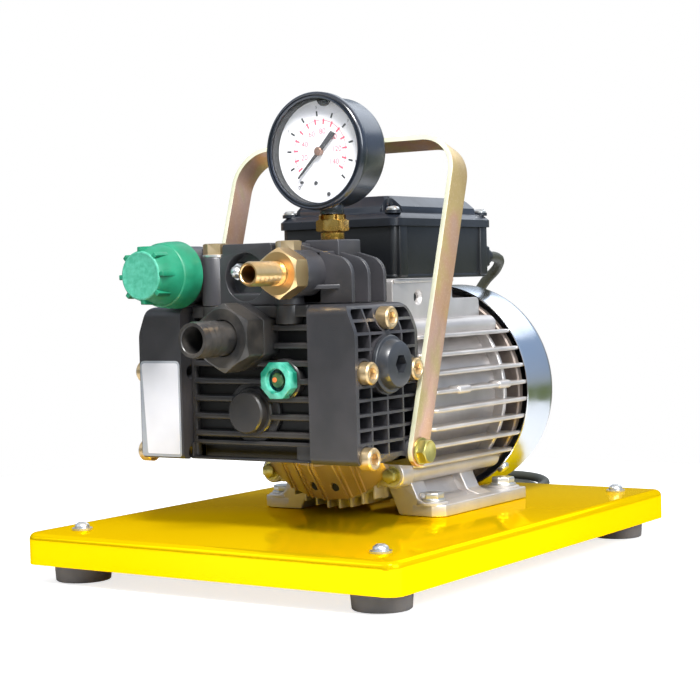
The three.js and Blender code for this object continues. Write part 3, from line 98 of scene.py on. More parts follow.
def smoothRoute(points, perSpan=5):
    # centripetal curve through the points, as the solid's route is drawn
    dense = []
    spots = [Vector(p) for p in points]
    spots = [spots[0] * 2 - spots[1]] + spots + [spots[-1] * 2 - spots[-2]]
    for i in range(1, len(spots) - 2):
        p0, p1, p2, p3 = spots[i - 1 : i + 3]
        t1 = (p1 - p0).length ** 0.5
        t2 = t1 + (p2 - p1).length ** 0.5
        t3 = t2 + (p3 - p2).length ** 0.5
        for k in range(perSpan):
            t = t1 + (t2 - t1) * k / perSpan
            a1 = p0 * ((t1 - t) / t1) + p1 * (t / t1)
            a2 = p1 * ((t2 - t) / (t2 - t1)) + p2 * ((t - t1) / (t2 - t1))
            a3 = p2 * ((t3 - t) / (t3 - t2)) + p3 * ((t - t2) / (t3 - t2))
            b1 = a1 * ((t2 - t) / t2) + a2 * (t / t2)
            b2 = a2 * ((t3 - t) / (t3 - t1)) + a3 * ((t - t1) / (t3 - t1))
            dense.append(b1 * ((t2 - t) / (t2 - t1)) + b2 * ((t - t1) / (t2 - t1)))
    return dense + [spots[-2]]


def coilRoute(spec):
    eased = lambda share: (1 - math.cos(math.pi * share)) / 2
    start = spec["coilRadius"] + spec["turnsIn"] * spec["pitch"] / 2
    total = spec["turnsIn"] + spec["turnsOver"] + spec["turnsOut"]
    low = spec["radius"] + spec["gap"]
    end = Vector(spec["route"][-1])
    centre = Vector((end.x - start, end.y + spec["gap"] + 2 * spec["radius"], 0))
    points = []
    for k in range(round(total * spec["steps"]) + 1):
        turn = k / spec["steps"]
        climb = min(max((turn - spec["turnsIn"]) / spec["turnsOver"], 0), 1)
        outward = max(turn - spec["turnsIn"] - spec["turnsOver"], 0)
        leaving = max(1 - (total - turn) / spec["turnsOver"], 0)
        reach = start - spec["pitch"] * (min(turn, spec["turnsIn"]) - outward)
        reach -= spec["dip"] * math.sin(math.pi * climb)
        rise = low + spec["layer"] * eased(climb)
        rise += (spec["plugHeight"] - low - spec["layer"]) * eased(leaving)
        angle = 2 * math.pi * turn
        points.append(centre + Vector((reach * math.cos(angle), reach * math.sin(angle), rise)))
    return points + [points[-1] - Vector((2 * spec["radius"], 0, 0))]


def makeLead(spec):
    points = smoothRoute(spec["route"]) + coilRoute(spec)
    curve = bpy.data.curves.new("mains_lead", "CURVE")
    curve.dimensions = "3D"
    curve.bevel_depth = spec["radius"]
    curve.bevel_resolution = 3
    curve.use_fill_caps = True
    line = curve.splines.new("POLY")
    line.points.add(len(points) - 1)
    for spot, point in zip(line.points, points):
        spot.co = (*point, 1)
    line.use_smooth = True
    lead = bpy.data.objects.new("mains_lead", curve)
    bpy.context.scene.collection.objects.link(lead)
    return lead, points


mainsLead, leadPoints = makeLead(leadSpec)
leadLength = sum((b - a).length for a, b in zip(leadPoints, leadPoints[1:]))
print("lead made,", round(leadLength, 3), "m")

# materials


class Value:
    def __init__(self, look, socket):
        self.look, self.socket = look, socket

    def maths(self, operation, other, swapped=False):
        pair = {0: other, 1: self} if swapped else {0: self, 1: other}
        return self.look.node("ShaderNodeMath", {"operation": operation}, pair)

    def __add__(self, other):
        return self.maths("ADD", other)

    def __radd__(self, other):
        return self.maths("ADD", other, True)

    def __sub__(self, other):
        return self.maths("SUBTRACT", other)

    def __rsub__(self, other):
        return self.maths("SUBTRACT", other, True)

    def __mul__(self, other):
        return self.maths("MULTIPLY", other)

    def __rmul__(self, other):
        return self.maths("MULTIPLY", other, True)


class Look:
    def __init__(self, name, **fixed):
        self.material = bpy.data.materials.new(name)
        self.material.use_nodes = True
        self.tree = self.material.node_tree
        self.shader = self.tree.nodes["Principled BSDF"]
        for key, value in fixed.items():
            self.shader.inputs[self.socketName(key)].default_value = value

    def socketName(self, key):
        words = "".join(" " + letter if letter.isupper() else letter for letter in key)
        return words.title().replace("Specular Level", "Specular IOR Level")

    def node(self, kind, settings=None, inputs=None, output=0):
        made = self.tree.nodes.new(kind)
        for key, value in (settings or {}).items():
            if key == "stops":
                ramp = made.color_ramp.elements
                ramp.remove(ramp[1])
                ramp[0].position, ramp[0].color = value[0]
                for spot, colour in value[1:]:
                    ramp.new(spot).color = colour
            else:
                setattr(made, key, value)
        for key, value in (inputs or {}).items():
            if isinstance(value, Value):
                self.tree.links.new(value.socket, made.inputs[key])
            else:
                made.inputs[key].default_value = value
        return Value(self, made.outputs[output])

    def ray(self, kind):
        return self.node("ShaderNodeLightPath", output=f"Is {kind} Ray")

    def coords(self):
        return self.node("ShaderNodeTexCoord", output="Object")

    def noise(self, scale, detail=2, rough=0.5, stretch=None):
        vector = self.coords()
        if stretch:
            vector = self.node("ShaderNodeMapping", {}, {"Vector": vector, "Scale": stretch})
        inputs = {"Vector": vector, "Scale": scale, "Detail": detail, "Roughness": rough}
        return self.node("ShaderNodeTexNoise", {}, inputs, "Fac")

    def ramp(self, value, *stops):
        full = [(spot, (*colour, 1) if isinstance(colour, tuple) else (colour,) * 3 + (1,)) for spot,
                colour in stops]
        return self.node("ShaderNodeValToRGB", {"stops": full}, {"Fac": value}, "Color")

    def mix(self, factor, first, second):
        inputs = {0: factor, 6: first, 7: second}
        return self.node("ShaderNodeMix", {"data_type": "RGBA"}, inputs, 2)

    def drive(self, **sockets):
        for key, value in sockets.items():
            self.tree.links.new(value.socket, self.shader.inputs[self.socketName(key)])

    def bump(self, height, strength, distance):
        made = self.node("ShaderNodeBump", {}, {"Height": height, "Strength": strength, "Distance": distance})
        self.tree.links.new(made.socket, self.shader.inputs["Normal"])


class Sky(Look):
    def __init__(self, world):
        world.use_nodes = True
        self.tree = world.node_tree


def rgb(red, green, blue):
    # screen colour, 0 to 255, as the light values that a shader takes
    shares = (part / 255 for part in (red, green, blue))
    return (*(((share + 0.055) / 1.055) ** 2.4 if share > 0.04 else share / 12.92 for share in shares), 1)


def worn(name, base, tint, roughness, spread, grain, grainDepth, patch=25, **fixed):
    # one colour that drifts to a second over the surface, with an uneven sheen and a fine grain
    look = Look(name, **fixed)
    drift = look.ramp(look.noise(patch, 3), (0.35, 0.0), (0.7, 1.0))
    look.drive(baseColor=look.mix(drift, rgb(*base), rgb(*tint)))
    look.drive(roughness=look.noise(patch * 6, 3, 0.6) * spread + (roughness - spread / 2))
    look.bump(look.noise(grain, 2), 0.5, grainDepth)
    return look


def yellowCoat():
    look = Look("yellow_gloss_coat", metallic=0.68, specularLevel=0.0, specularTint=rgb(255, 216, 40))
    drift = look.noise(6, 2)
    look.drive(baseColor=look.mix(drift, rgb(255, 206, 0), rgb(255, 216, 14)))
    dust = look.ramp(look.noise(1400, 2, 0.6), (0.62, 0.0), (0.72, 1.0))
    look.drive(roughness=dust * 0.1 + 0.07)
    look.bump(look.noise(420, 2), 0.08, 0.0002)
    return look


def yellowZinc():
    look = Look("yellow_passivated_zinc", metallic=0.75)
    hue = look.noise(22, 3, 0.6, (1, 1, 0.6))
    film = look.ramp(
        hue, (0.3, rgb(194, 162, 112)[:3]), (0.44, rgb(214, 186, 126)[:3]), (0.52, rgb(216, 172, 138)[:3]),
        (0.6, rgb(212, 174, 156)[:3]), (0.7, rgb(200, 182, 130)[:3]),
    )
    specks = look.ramp(look.noise(700, 3, 0.7), (0.52, 0.0), (0.68, 0.35))
    look.drive(baseColor=look.mix(specks, film, rgb(236, 212, 176)))
    look.drive(roughness=look.noise(240, 3, 0.6) * 0.22 + 0.26)
    look.bump(look.noise(900, 2), 0.25, 0.00008)
    return look


def turnedBrass():
    look = Look("turned_brass", metallic=1.0)
    drift = look.noise(60, 3)
    look.drive(baseColor=look.mix(drift, rgb(250, 206, 140), rgb(255, 222, 168)))
    look.drive(roughness=look.noise(120, 2) * 0.06 + 0.27)
    return look


def bentZinc():
    look = Look("bright_zinc_sheet", metallic=1.0)
    spangle = look.node("ShaderNodeTexVoronoi", {}, {"Vector": look.coords(), "Scale": 70}, "Distance")
    drift = look.noise(14, 2)
    look.drive(baseColor=look.mix(drift, rgb(205, 212, 222), rgb(226, 230, 233)))
    look.drive(roughness=spangle * 0.1 + 0.13)
    look.bump(look.noise(90, 2), 0.12, 0.0003)
    return look


def clearPane():
    look = Look("clear_pane", roughness=0.03, alpha=0.035, specularLevel=0.8)
    look.drive(baseColor=look.mix(look.noise(30), rgb(235, 240, 245), rgb(250, 252, 255)))
    look.material.surface_render_method = "BLENDED"
    return look


def greenSight():
    look = Look("green_sight_plastic", roughness=0.1, transmissionWeight=0.25, coatWeight=0.8)
    streaks = look.ramp(look.noise(150, 2, 0.5), (0.34, 0.0), (0.66, 1.0))
    look.drive(baseColor=look.mix(streaks, rgb(24, 150, 122), rgb(112, 220, 194)))
    return look


looks = {
    "yellow": yellowCoat(),
    "pump": worn("glass_filled_black", (42, 42, 45), (59, 57, 60), 0.38, 0.16, 1300, 0.00012, 30,
                 specularLevel=0.55),
    "crank": worn("black_casting", (40, 40, 42), (56, 53, 51), 0.36, 0.16, 900, 0.00004, 40,
                  specularLevel=0.4),
    # painted shade: the casting between the ribs is darker than the ribs, as the recesses' shadow
    "deep": worn("black_casting_painted_recess_shade", (11, 11, 12), (20, 19, 19), 0.36, 0.16, 900, 0.00004, 40,
                 specularLevel=0.3),
    "hose": worn("black_hose_polymer", (32, 32, 33), (70, 66, 62), 0.32, 0.2, 700, 0.00005, 80,
                 specularLevel=0.55),
    "box": worn("black_moulding", (20, 22, 25), (31, 33, 36), 0.36, 0.14, 1100, 0.00006, 22,
                specularLevel=0.5),
    "lid": worn("black_lid_moulding", (22, 25, 32), (34, 38, 46), 0.3, 0.12, 1100, 0.00005, 22,
                specularLevel=0.6),
    # black case whose blue tint is partly a painted reflection of the sky
    "gauge": worn("black_gauge_case_with_painted_blue_sheen", (22, 27, 36), (33, 39, 50), 0.22, 0.06, 700, 0.00001, 30,
                  specularLevel=0.9),
    "cork": worn("black_steel_plug", (40, 42, 46), (54, 56, 60), 0.32, 0.12, 700, 0.00004, 60),
    "rubber": worn("foot_rubber", (92, 89, 86), (112, 106, 102), 0.75, 0.12, 800, 0.0002, 40),
    "lead": worn("lead_sheath", (52, 53, 44), (70, 70, 58), 0.5, 0.14, 900, 0.0001, 30),
    "cast": worn("cast_aluminium", (192, 187, 184), (218, 213, 210), 0.42, 0.16, 800, 0.00016, 28,
                 metallic=0.72),
    # the rear shield's aluminium painted darker: painted shade by the fan cover
    "castPaintedShade": worn("shaded_casting", (112, 102, 96), (138, 126, 118), 0.5, 0.16, 800, 0.00016, 28,
                     metallic=0.7),
    # darker and warmer than the cast aluminium: painted shade under the pump with a painted yellow reflection
    # of the tray
    "castPaintedShadeAndTrayReflection": worn("cast_aluminium_painted_shade_and_tray_reflection", (178, 154, 122), (202, 180, 146), 0.42, 0.16, 800,
                     0.00012, 28, metallic=0.65),
    "zinc": bentZinc(),
    "bright": worn("white_zinc_screw", (206, 208, 210), (226, 226, 224), 0.3, 0.1, 500, 0.00001, 60,
                   metallic=0.9),
    # painted highlight: the handle's narrow edges, paler than its faces as if they caught the light
    "pale": worn("zinc_edge_painted_highlight", (204, 204, 176), (222, 220, 196), 0.34, 0.14, 700, 0.00003, 40,
                 metallic=0.3),
    "steel": worn("ground_steel", (150, 152, 156), (176, 178, 180), 0.3, 0.12, 900, 0.00005, 60,
                  metallic=1.0),
    "copper": worn("varnished_winding", (140, 74, 34), (176, 104, 54), 0.4, 0.12, 700, 0.0002, 60,
                   metallic=0.4),
    "gold": yellowZinc(),
    "screw": worn("yellow_zinc_screw", (200, 174, 132), (216, 192, 152), 0.34, 0.14, 500, 0.00002, 90,
                  metallic=0.85),
    "brass": turnedBrass(),
    "aged": worn("aged_brass", (196, 150, 70), (226, 184, 104), 0.26, 0.12, 500, 0.00002, 90, metallic=1.0),
    "lime": worn("green_tinted_zinc", (168, 158, 82), (202, 194, 124), 0.3, 0.12, 500, 0.00002, 140,
                 metallic=0.85),
    "green": worn("green_knob_plastic", (12, 106, 74), (34, 134, 102), 0.42, 0.2, 900, 0.00006, 60),
    "shadow": worn("green_knob_shade", (8, 78, 54), (20, 98, 70), 0.5, 0.2, 900, 0.00006, 60),
    "frost": worn("frosted_green_plastic", (58, 148, 120), (82, 168, 142), 0.55, 0.16, 700, 0.0001, 420),
    "sight": greenSight(),
    "dot": worn("orange_dot", (208, 92, 44), (226, 120, 60), 0.5, 0.1, 900, 0.00005),
    "glass": clearPane(),
    "dial": worn("dial_enamel", (246, 244, 248), (252, 251, 254), 0.5, 0.08, 500, 0.00002),
    "fluid": worn("dial_above_fluid", (230, 228, 234), (243, 241, 246), 0.3, 0.1, 500, 0.00003, 90),
    "hub": worn("copper_hub", (132, 98, 80), (152, 116, 98), 0.35, 0.1, 600, 0.00003, 60, metallic=0.5),
    "black": worn("black_print", (24, 24, 28), (36, 36, 40), 0.5, 0.1, 900, 0.00003),
    "red": worn("red_print", (222, 74, 100), (234, 100, 122), 0.6, 0.1, 900, 0.00003),
    "well": worn("sight_well", (10, 46, 52), (20, 86, 78), 0.15, 0.1, 500, 0.00005, 120),
    "olive": worn("sight_bottom", (44, 84, 58), (84, 116, 70), 0.25, 0.1, 500, 0.00005, 160),
    "plate": worn("bare_label_foil", (206, 206, 212), (220, 220, 226), 0.36, 0.14, 600, 0.00003, 30,
                  metallic=0.1),
    "band": worn("grey_label_edge", (142, 146, 154), (160, 164, 170), 0.45, 0.1, 600, 0.00003),
    "shade": worn("unlit_zinc", (150, 150, 156), (174, 174, 180), 0.5, 0.1, 600, 0.0001, 30),
    # painted shade in the hole bottoms and on the gauge cavity's walls; the fan has the same dark colour
    "dark": worn("dark_fan_and_painted_shade", (18, 18, 19), (26, 26, 27), 0.7, 0.1, 600, 0.0001),
}
print("materials made")

# modelling helpers: pieces are modelled in mm over the tray, then finished in metres


def deselect():
    if bpy.context.object and bpy.context.object.mode != "OBJECT":
        bpy.ops.object.mode_set(mode="OBJECT")
    bpy.ops.object.select_all(action="DESELECT")


def only(piece):
    deselect()
    piece.select_set(True)
    bpy.context.view_layer.objects.active = piece


def startEdit(piece):
    only(piece)
    bpy.ops.object.mode_set(mode="EDIT")
    bpy.ops.mesh.select_mode(type="VERT")
    bpy.ops.mesh.select_all(action="SELECT")


def endEdit():
    bpy.ops.object.mode_set(mode="OBJECT")


def editChosen(piece, kind, chosen):
    # edit mode with only the faces or edges that are chosen
    startEdit(piece)
    bpy.ops.mesh.select_mode(type=kind)
    bpy.ops.mesh.select_all(action="DESELECT")
    endEdit()
    for part in piece.data.polygons if kind == "FACE" else piece.data.edges:
        part.select = chosen(part)
    bpy.ops.object.mode_set(mode="EDIT")


def added(first, second):
    return tuple(a + b for a, b in zip(first, second))


def along(profile, start):
    # a profile drawn from 0, moved to its start on the axis
    return [(reach, start + place) for reach, place in profile]


def lay(piece, axis, at=(0, 0)):
    # turns a piece made along Z to lie along an axis, through a place in the plane across it
    turns = {
        "Z": Matrix.Translation((at[0], at[1], 0)),
        "Y": Matrix.Translation((at[0], 0, at[1])) @ Matrix.Rotation(-math.pi / 2, 4, "X"),
        "X": Matrix.Translation((0, at[0], at[1])) @ Matrix.Rotation(math.pi / 2, 4, "Y"),
    }
    piece.data.transform(turns[axis])
    return piece


def meshPiece(points, edges, faces):
    mesh = bpy.data.meshes.new("piece")
    mesh.from_pydata(points, edges, faces)
    piece = bpy.data.objects.new("piece", mesh)
    bpy.context.scene.collection.objects.link(piece)
    return piece


def barrel(radius, low, high, axis="Z", at=(0, 0), sides=48):
    deselect()
    bpy.ops.mesh.primitive_cone_add(
        vertices=sides, radius1=radius, radius2=radius, depth=high - low,
        location=(0, 0, (low + high) / 2),
    )
    piece = bpy.context.object
    bpy.ops.object.transform_apply()
    return lay(piece, axis, at)


def hexBar(flats, low, high, axis, at):
    return barrel(flats / math.sqrt(3), low, high, axis, at, 6)


def block(low, high):
    deselect()
    size = [b - a for a, b in zip(low, high)]
    bpy.ops.mesh.primitive_cube_add(size=1, location=[(a + b) / 2 for a, b in zip(low, high)], scale=size)
    bpy.ops.object.transform_apply()
    return bpy.context.object


def spun(profile, axis="Z", at=(0, 0), steps=72):
    # profile: (radius, place along the axis), spun in edit mode
    rail = meshPiece([(r, 0, h) for r, h in profile], [(k, k + 1) for k in range(len(profile) - 1)], [])
    startEdit(rail)
    bpy.ops.mesh.spin(steps=steps, angle=2 * math.pi, center=(0, 0, 0), axis=(0, 0, 1))
    bpy.ops.mesh.select_all(action="SELECT")
    bpy.ops.mesh.remove_doubles(threshold=0.002)
    bpy.ops.mesh.normals_make_consistent(inside=False)
    endEdit()
    return lay(rail, axis, at)


def rounded(corners, steps=6):
    # corners: (a, b, radius)
    points = []
    for i, (a, b, radius) in enumerate(corners):
        if radius == 0:
            points.append((a, b))
            continue
        here = Vector((a, b))
        before = (Vector(corners[i - 1][:2]) - here).normalized()
        after = (Vector(corners[(i + 1) % len(corners)][:2]) - here).normalized()
        half = before.angle(after) / 2
        centre = here + (before + after).normalized() * radius / math.sin(half)
        start = here + before * radius / math.tan(half) - centre
        end = here + after * radius / math.tan(half) - centre
        first = math.atan2(start.y, start.x)
        sweep = (math.atan2(end.y, end.x) - first + math.pi) % (2 * math.pi) - math.pi
        for k in range(steps + 1):
            angle = first + sweep * k / steps
            points.append((centre.x + radius * math.cos(angle), centre.y + radius * math.sin(angle)))
    return points


def pulled(outline, axis, low, high):
    # outline in (x, y) for Z, (x, z) for Y and (y, z) for X, extruded in edit mode
    put = {"Z": lambda a, b: (a, b, low), "Y": lambda a, b: (a, low, b), "X": lambda a, b: (low, a, b)}[axis]
    piece = meshPiece([put(a, b) for a, b in outline], [], [tuple(range(len(outline)))])
    step = {"Z": (0, 0, high - low), "Y": (0, high - low, 0), "X": (high - low, 0, 0)}[axis]
    startEdit(piece)
    bpy.ops.mesh.extrude_region_move(TRANSFORM_OT_translate={"value": step})
    bpy.ops.mesh.select_all(action="SELECT")
    bpy.ops.mesh.normals_make_consistent(inside=False)
    endEdit()
    return piece


def applied(piece, kind, **settings):
    only(piece)
    modifier = piece.modifiers.new(kind.lower(), kind)
    for key, value in settings.items():
        setattr(modifier, key, value)
    bpy.ops.object.modifier_apply(modifier=modifier.name)
    return piece


def softened(piece, width, segments=3, angle=38):
    return applied(
        piece, "BEVEL", width=width, segments=segments, limit_method="ANGLE",
        angle_limit=math.radians(angle), use_clamp_overlap=True,
    )


def combined(piece, other, operation):
    applied(piece, "BOOLEAN", object=other, operation=operation, solver="MANIFOLD")
    bpy.data.objects.remove(other)
    return piece


def cut(piece, *tools):
    for tool in tools:
        combined(piece, tool, "DIFFERENCE")
    return piece


def together(*pieces):
    only(pieces[0])
    for piece in pieces:
        piece.select_set(True)
    bpy.ops.object.join()
    return pieces[0]


def copied(piece, mirror=False):
    twin = piece.copy()
    twin.data = piece.data.copy()
    bpy.context.scene.collection.objects.link(twin)
    if mirror:
        twin.data.transform(Matrix.Scale(-1, 4, (1, 0, 0)))
        twin.data.flip_normals()
    return twin


def mirrored(piece):
    twin = copied(piece, mirror=True)
    bpy.data.objects.remove(piece)
    return twin


def plain(piece):
    return piece


def moved(piece, offset):
    piece.data.transform(Matrix.Translation(offset))
    return piece


def swung(piece, angle, axis, place):
    # turns a piece that is modelled about the origin, then takes it to its place
    piece.data.transform(Matrix.Translation(place) @ Matrix.Rotation(angle, 4, axis))
    return piece


def around(piece, axis, place, angles):
    # the same piece at several angles
    twins = [swung(copied(piece), angle, axis, place) for angle in angles]
    bpy.data.objects.remove(piece)
    return twins


def painted(piece, look):
    piece.data.materials.clear()
    piece.data.materials.append(looks[look].material)
    return piece


def patched(piece, look, chosen):
    # a second look on the faces that are chosen
    piece.data.materials.append(looks[look].material)
    for face in piece.data.polygons:
        face.material_index = int(chosen(face))
    return piece


def finished(piece, name, body, look=None, replaced=(), smooth=35):
    if look:
        painted(piece, look)
    only(piece)
    bpy.ops.object.shade_smooth_by_angle(angle=math.radians(smooth))
    piece.data.transform(Matrix.Translation((0, 0, deck * mm)) @ Matrix.Scale(mm, 4))
    piece.name = piece.data.name = name
    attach(piece, body)
    if replaced:
        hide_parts(*replaced)
    deselect()
    return piece


# tray, its screws and its feet

traySpec = {
    "width": 265, "length": 340, "skirt": 19, "corner": 9, "fold": 4, "sheet": 2, "edge": 0.35, "inset": 25,
    "washer": [(0, 0.1), (6.2, 0.1), (6.2, 1.2), (0, 1.2)],
    "screw": [(0, 1), (4.6, 1), (4.6, 2.2), (3.956, 3.6), (2.3, 4.6), (0, 4.9)],
    "socket": (2.3, 3.2, 6),  # radius, bottom, top
    "foot": [(0, 7), (8, 7), (8, 0.3), (15.9, 0), (16.5, 0.5), (18.4, 22), (19, 26.9), (18.2, 27.7),
             (0, 27.7)],
}


def makeTray(spec):
    w, l = spec["width"] / 2, spec["length"] / 2
    corners = [(x, y, spec["corner"]) for x, y in ((-w, -l), (w, -l), (w, l), (-w, l))]
    tray = pulled(rounded(corners, 8), "Z", -spec["skirt"], 0)
    editChosen(tray, "FACE", lambda face: face.normal.z < -0.5)
    bpy.ops.mesh.delete(type="FACE")
    endEdit()
    editChosen(tray, "EDGE", lambda edge: min(tray.data.vertices[v].co.z for v in edge.vertices) > -0.01)
    bpy.ops.mesh.bevel(offset=spec["fold"], segments=6, profile=0.5)
    endEdit()
    applied(tray, "SOLIDIFY", thickness=spec["sheet"], offset=-1, use_even_offset=True)
    softened(tray, spec["edge"], 2, 60)
    finished(tray, "tray", "base", "yellow", ["base_plate"])


def makeTrayCorners(spec):
    w, l = spec["width"] / 2 - spec["inset"], spec["length"] / 2 - spec["inset"]
    spots = {"front_left": (-w, -l), "rear_left": (-w, l), "front_right": (w, -l), "rear_right": (w, l)}
    for name, (x, y) in spots.items():
        washer = spun(spec["washer"], "Z", (x, y), 40)
        socket = barrel(*spec["socket"], "Z", (x, y), 6)
        head = cut(spun(spec["screw"], "Z", (x, y), 40), socket)
        finished(together(washer, head), f"tray_screw_{name}", "base", "bright")
        foot = moved(spun(spec["foot"], "Z", (x, y), 64), (0, 0, -deck))
        finished(foot, f"foot_{name}", "base", "rubber", [f"rubber_foot_{name}"])


makeTray(traySpec)
makeTrayCorners(traySpec)
print("tray made")

# motor: the finned frame

motorSpec = {
    "front": -21.7, "back": 92, "core": 56, "bore": 49.5, "tail": 53.5,
    "ring": 75.5, "collar": [(62, 0), (62.6, 0.6), (62.6, 3), (61, 3.4), (53.5, 4)],
    "pitch": 11.2, "fin": 2.5, "sideFins": 8, "tip": 70,
    "finFront": ((0, 6), (4, 1.2), (16, 0.4)),  # place behind the front, and what is missing to the tip
    "finBack": ((-3, 0), (1, 0.9), (4.5, 1.4)),
    "bumps": (14, 65), "bump": ((60, -8, 3.2), (70, 8, 8.4)),
    "bottomFins": 6, "bottomFin": 2.4, "bottomTip": 66.3, "tie": (45.2, 44), "tieRib": 6.2,
}
quarters = [(sx, sz) for sx in (-1, 1) for sz in (-1, 1)]


def halfChord(radius, away):
    return math.sqrt(radius**2 - away**2)


def tieSpot(sx, sz):
    # where a tie rod runs along the motor
    x, z = motorSpec["tie"]
    return sx * x, axle + sz * z


def makeMotor(spec):
    front, back, core, bore, ring = (spec[key] for key in ("front", "back", "core", "bore", "ring"))
    profile = [(bore, front), (core, front), (core, ring - 1)] + along(spec["collar"], ring)
    profile += [(spec["tail"], back), (bore, back), (bore, front)]
    pieces = [spun(profile, "Y", (0, axle), 96)]
    for k in range(spec["sideFins"]):
        z = (k - (spec["sideFins"] - 1) / 2) * spec["pitch"]
        reach, root = halfChord(spec["tip"], z), halfChord(core - 1, z)
        outline = [(root, front)] + [(reach - less, front + y) for y, less in spec["finFront"]]
        outline += [(reach - less, back + y) for y, less in spec["finBack"]]
        outline.append((root, outline[-1][1]))
        low = axle + z - spec["fin"] / 2
        fin = softened(pulled(outline, "Z", low, low + spec["fin"]), 0.9, 3, 60)
        pieces += [fin, copied(fin, mirror=True)]
    for y in spec["bumps"]:
        bump = softened(block(*(added(corner, (0, y, axle)) for corner in spec["bump"])), 2.2, 4, 50)
        pieces += [bump, copied(bump, mirror=True)]
    for k in range(spec["bottomFins"]):
        x = (k - (spec["bottomFins"] - 1) / 2) * spec["pitch"]
        half = spec["bottomFin"] / 2
        low, high = (axle - halfChord(radius, x) for radius in (spec["bottomTip"], core - 1))
        pieces.append(softened(block((x - half, front, low), (x + half, back, high)), 0.7, 2, 60))
    for sx, sz in quarters:
        rib = barrel(spec["tieRib"], front, back - 4, "Y", tieSpot(sx, sz), 32)
        pieces.append(softened(rib, 2.2, 3, 60))
    finished(together(*pieces), "motor_fins", "base", "cast", ["motor_frame"])


# motor: its feet and foot bolts

feetSpec = {
    "front": -16.15, "back": 91.85, "inner": 38, "cornerX": 61, "outer": 68.4, "cornerY": 5,
    "plate": (0.3, 7.6),
    "end": [(37, 0.6, 0), (62, 0.6, 0), (62, 7.2, 0), (51.3, 10.6, 3), (45.8, 22, 2.5), (37.5, 27.6, 3),
            (34, 35.5, 0), (24, 31, 0)],
    "recess": [(37.4, 0.8, 0), (56, 0.8, 0), (56, 7, 1), (44.8, 9.6, 2), (39.4, 20, 3), (33, 27, 3),
               (24.5, 31, 0)],
    "ribs": (("end", 0.3, 15), ("recess", 14, 64), ("end", 60, 76)),
     # outline, start and end behind the front
    "wedge": ((20, -16, -2), (80, 12, 60)), "hinge": (0, -16, 8), "forward": 18, "slope": 28,
    "boltX": 56, "boltY": (-7.15, 82.85), "boss": [(0, 7), (10.5, 7), (10.5, 8.4), (9.8, 9), (0, 9)],
    "washer": [(0, 9), (8.3, 9), (8.3, 10.5), (0, 10.5)], "flats": 13, "headLow": 10.4, "headHigh": 14.4,
}


def makeFeet(spec):
    front, back, inner, outer = spec["front"], spec["back"], spec["inner"], spec["outer"]
    corners = [(inner, front + 0.5, 0), (spec["cornerX"], front, 1), (outer, front + spec["cornerY"], 1.5),
               (outer, back, 1.5), (inner, back, 1)]
    plate = softened(pulled(rounded(corners, 4), "Z", *spec["plate"]), 0.8, 3, 40)
    ribs = []
    for shape, start, end in spec["ribs"]:
        rib = pulled(rounded(spec[shape], 4), "Y", front + start, front + end)
        ribs.append(softened(rib, 0.9, 3, 40))
    wedge = block(*(added(corner, (0, back, 0)) for corner in spec["wedge"]))
    hinge, forward = Vector(added(spec["hinge"], (0, back, 0))), Vector((0, -spec["forward"], 0))
    lean = Matrix.Rotation(-math.radians(spec["slope"]), 4, "X")
    wedge.data.transform(Matrix.Translation(hinge + forward) @ lean @ Matrix.Translation(-hinge))
    cut(ribs[-1], wedge)
    bosses = [spun(spec["boss"], "Z", (spec["boltX"], y), 48) for y in spec["boltY"]]
    right = together(plate, *ribs, *bosses)
    left = copied(right, mirror=True)
    finished(together(right, left), "motor_feet", "base", "cast")
    bolts = []
    for x in (-spec["boltX"], spec["boltX"]):
        for y in spec["boltY"]:
            bolts.append(softened(spun(spec["washer"], "Z", (x, y), 40), 0.3, 2))
            head = hexBar(spec["flats"], spec["headLow"], spec["headHigh"], "Z", (x, y))
            bolts.append(softened(head, 0.6, 3))
    finished(together(*bolts), "foot_bolts", "base", "bright")


# motor: the pedestal under the terminal box

pedestalSpec = {
    "half": 40, "front": -21.7, "step": 50, "back": 84.3, "low": 100, "shelf": 133, "top": 146.2,
    "saddle": 52,
    "lip": ((-0.9, 1, -2.4), (0.9, 0.8, 0)), "hole": (8, 134.6),
    "dimple": [(0, 2), (5.2, 2), (5, -0.3), (3.2, -1.6), (2.6, -4), (0, -4)],
    "bottom": [(0, -3.8), (2.7, -3.8), (2.7, -3.2), (0, -3.2)],
}


def makePedestal(spec):
    half, front, step, back, top = (spec[key] for key in ("half", "front", "step", "back", "top"))
    side = [(front, spec["low"], 0), (back, spec["low"], 0), (back, spec["shelf"], 3),
            (step, spec["shelf"], 2), (step, top, 2), (front, top, 2)]
    body = pulled(rounded(side, 5), "X", -half, half)
    cut(body, barrel(spec["saddle"], front - 5, back + 5, "Y", (0, axle), 96))
    softened(body, 1.6, 4, 50)
    for turned in (mirrored, plain):
        cut(body, turned(spun(along(spec["dimple"], half), "X", spec["hole"], 40)))
    lipLow, lipHigh = spec["lip"]
    lip = softened(block(added((-half, front, top), lipLow), added((half, step, top), lipHigh)), 0.6, 2)
    # a dark disc at the bottom of each tapped hole: painted shade
    bottom = painted(spun(along(spec["bottom"], half), "X", spec["hole"], 32), "dark")
    shadeDiscs = together(bottom, copied(bottom, mirror=True))
    finished(together(painted(together(body, lip), "cast"), shadeDiscs), "motor_pedestal", "base")


# motor: its end shields

shieldSpec = {
    "front": -36, "back": -22, "bore": 15, "disc": [(47, 0), (50, 1), (58, 4), (61, 6)], "rim": 61, "lug": 8,
    "arm": ((20, 36, 0), (38, 52, 3), (51, 44, 3), (44, 30, 0)),
    "fins": 8, "pitch": 8.6, "fin": 1.4, "finTip": 66.3, "finRoot": 50,
    "washer": [(0, 0), (6, 0), (6, 1), (0, 1)], "flats": 8, "head": (-4.2, 0.5),
    "rear": [(15, 90.4), (64.6, 90.4), (65.6, 91.2), (65.6, 95), (60, 96), (60, 102), (56, 104.3),
             (15, 104.3), (15, 90.4)],
}


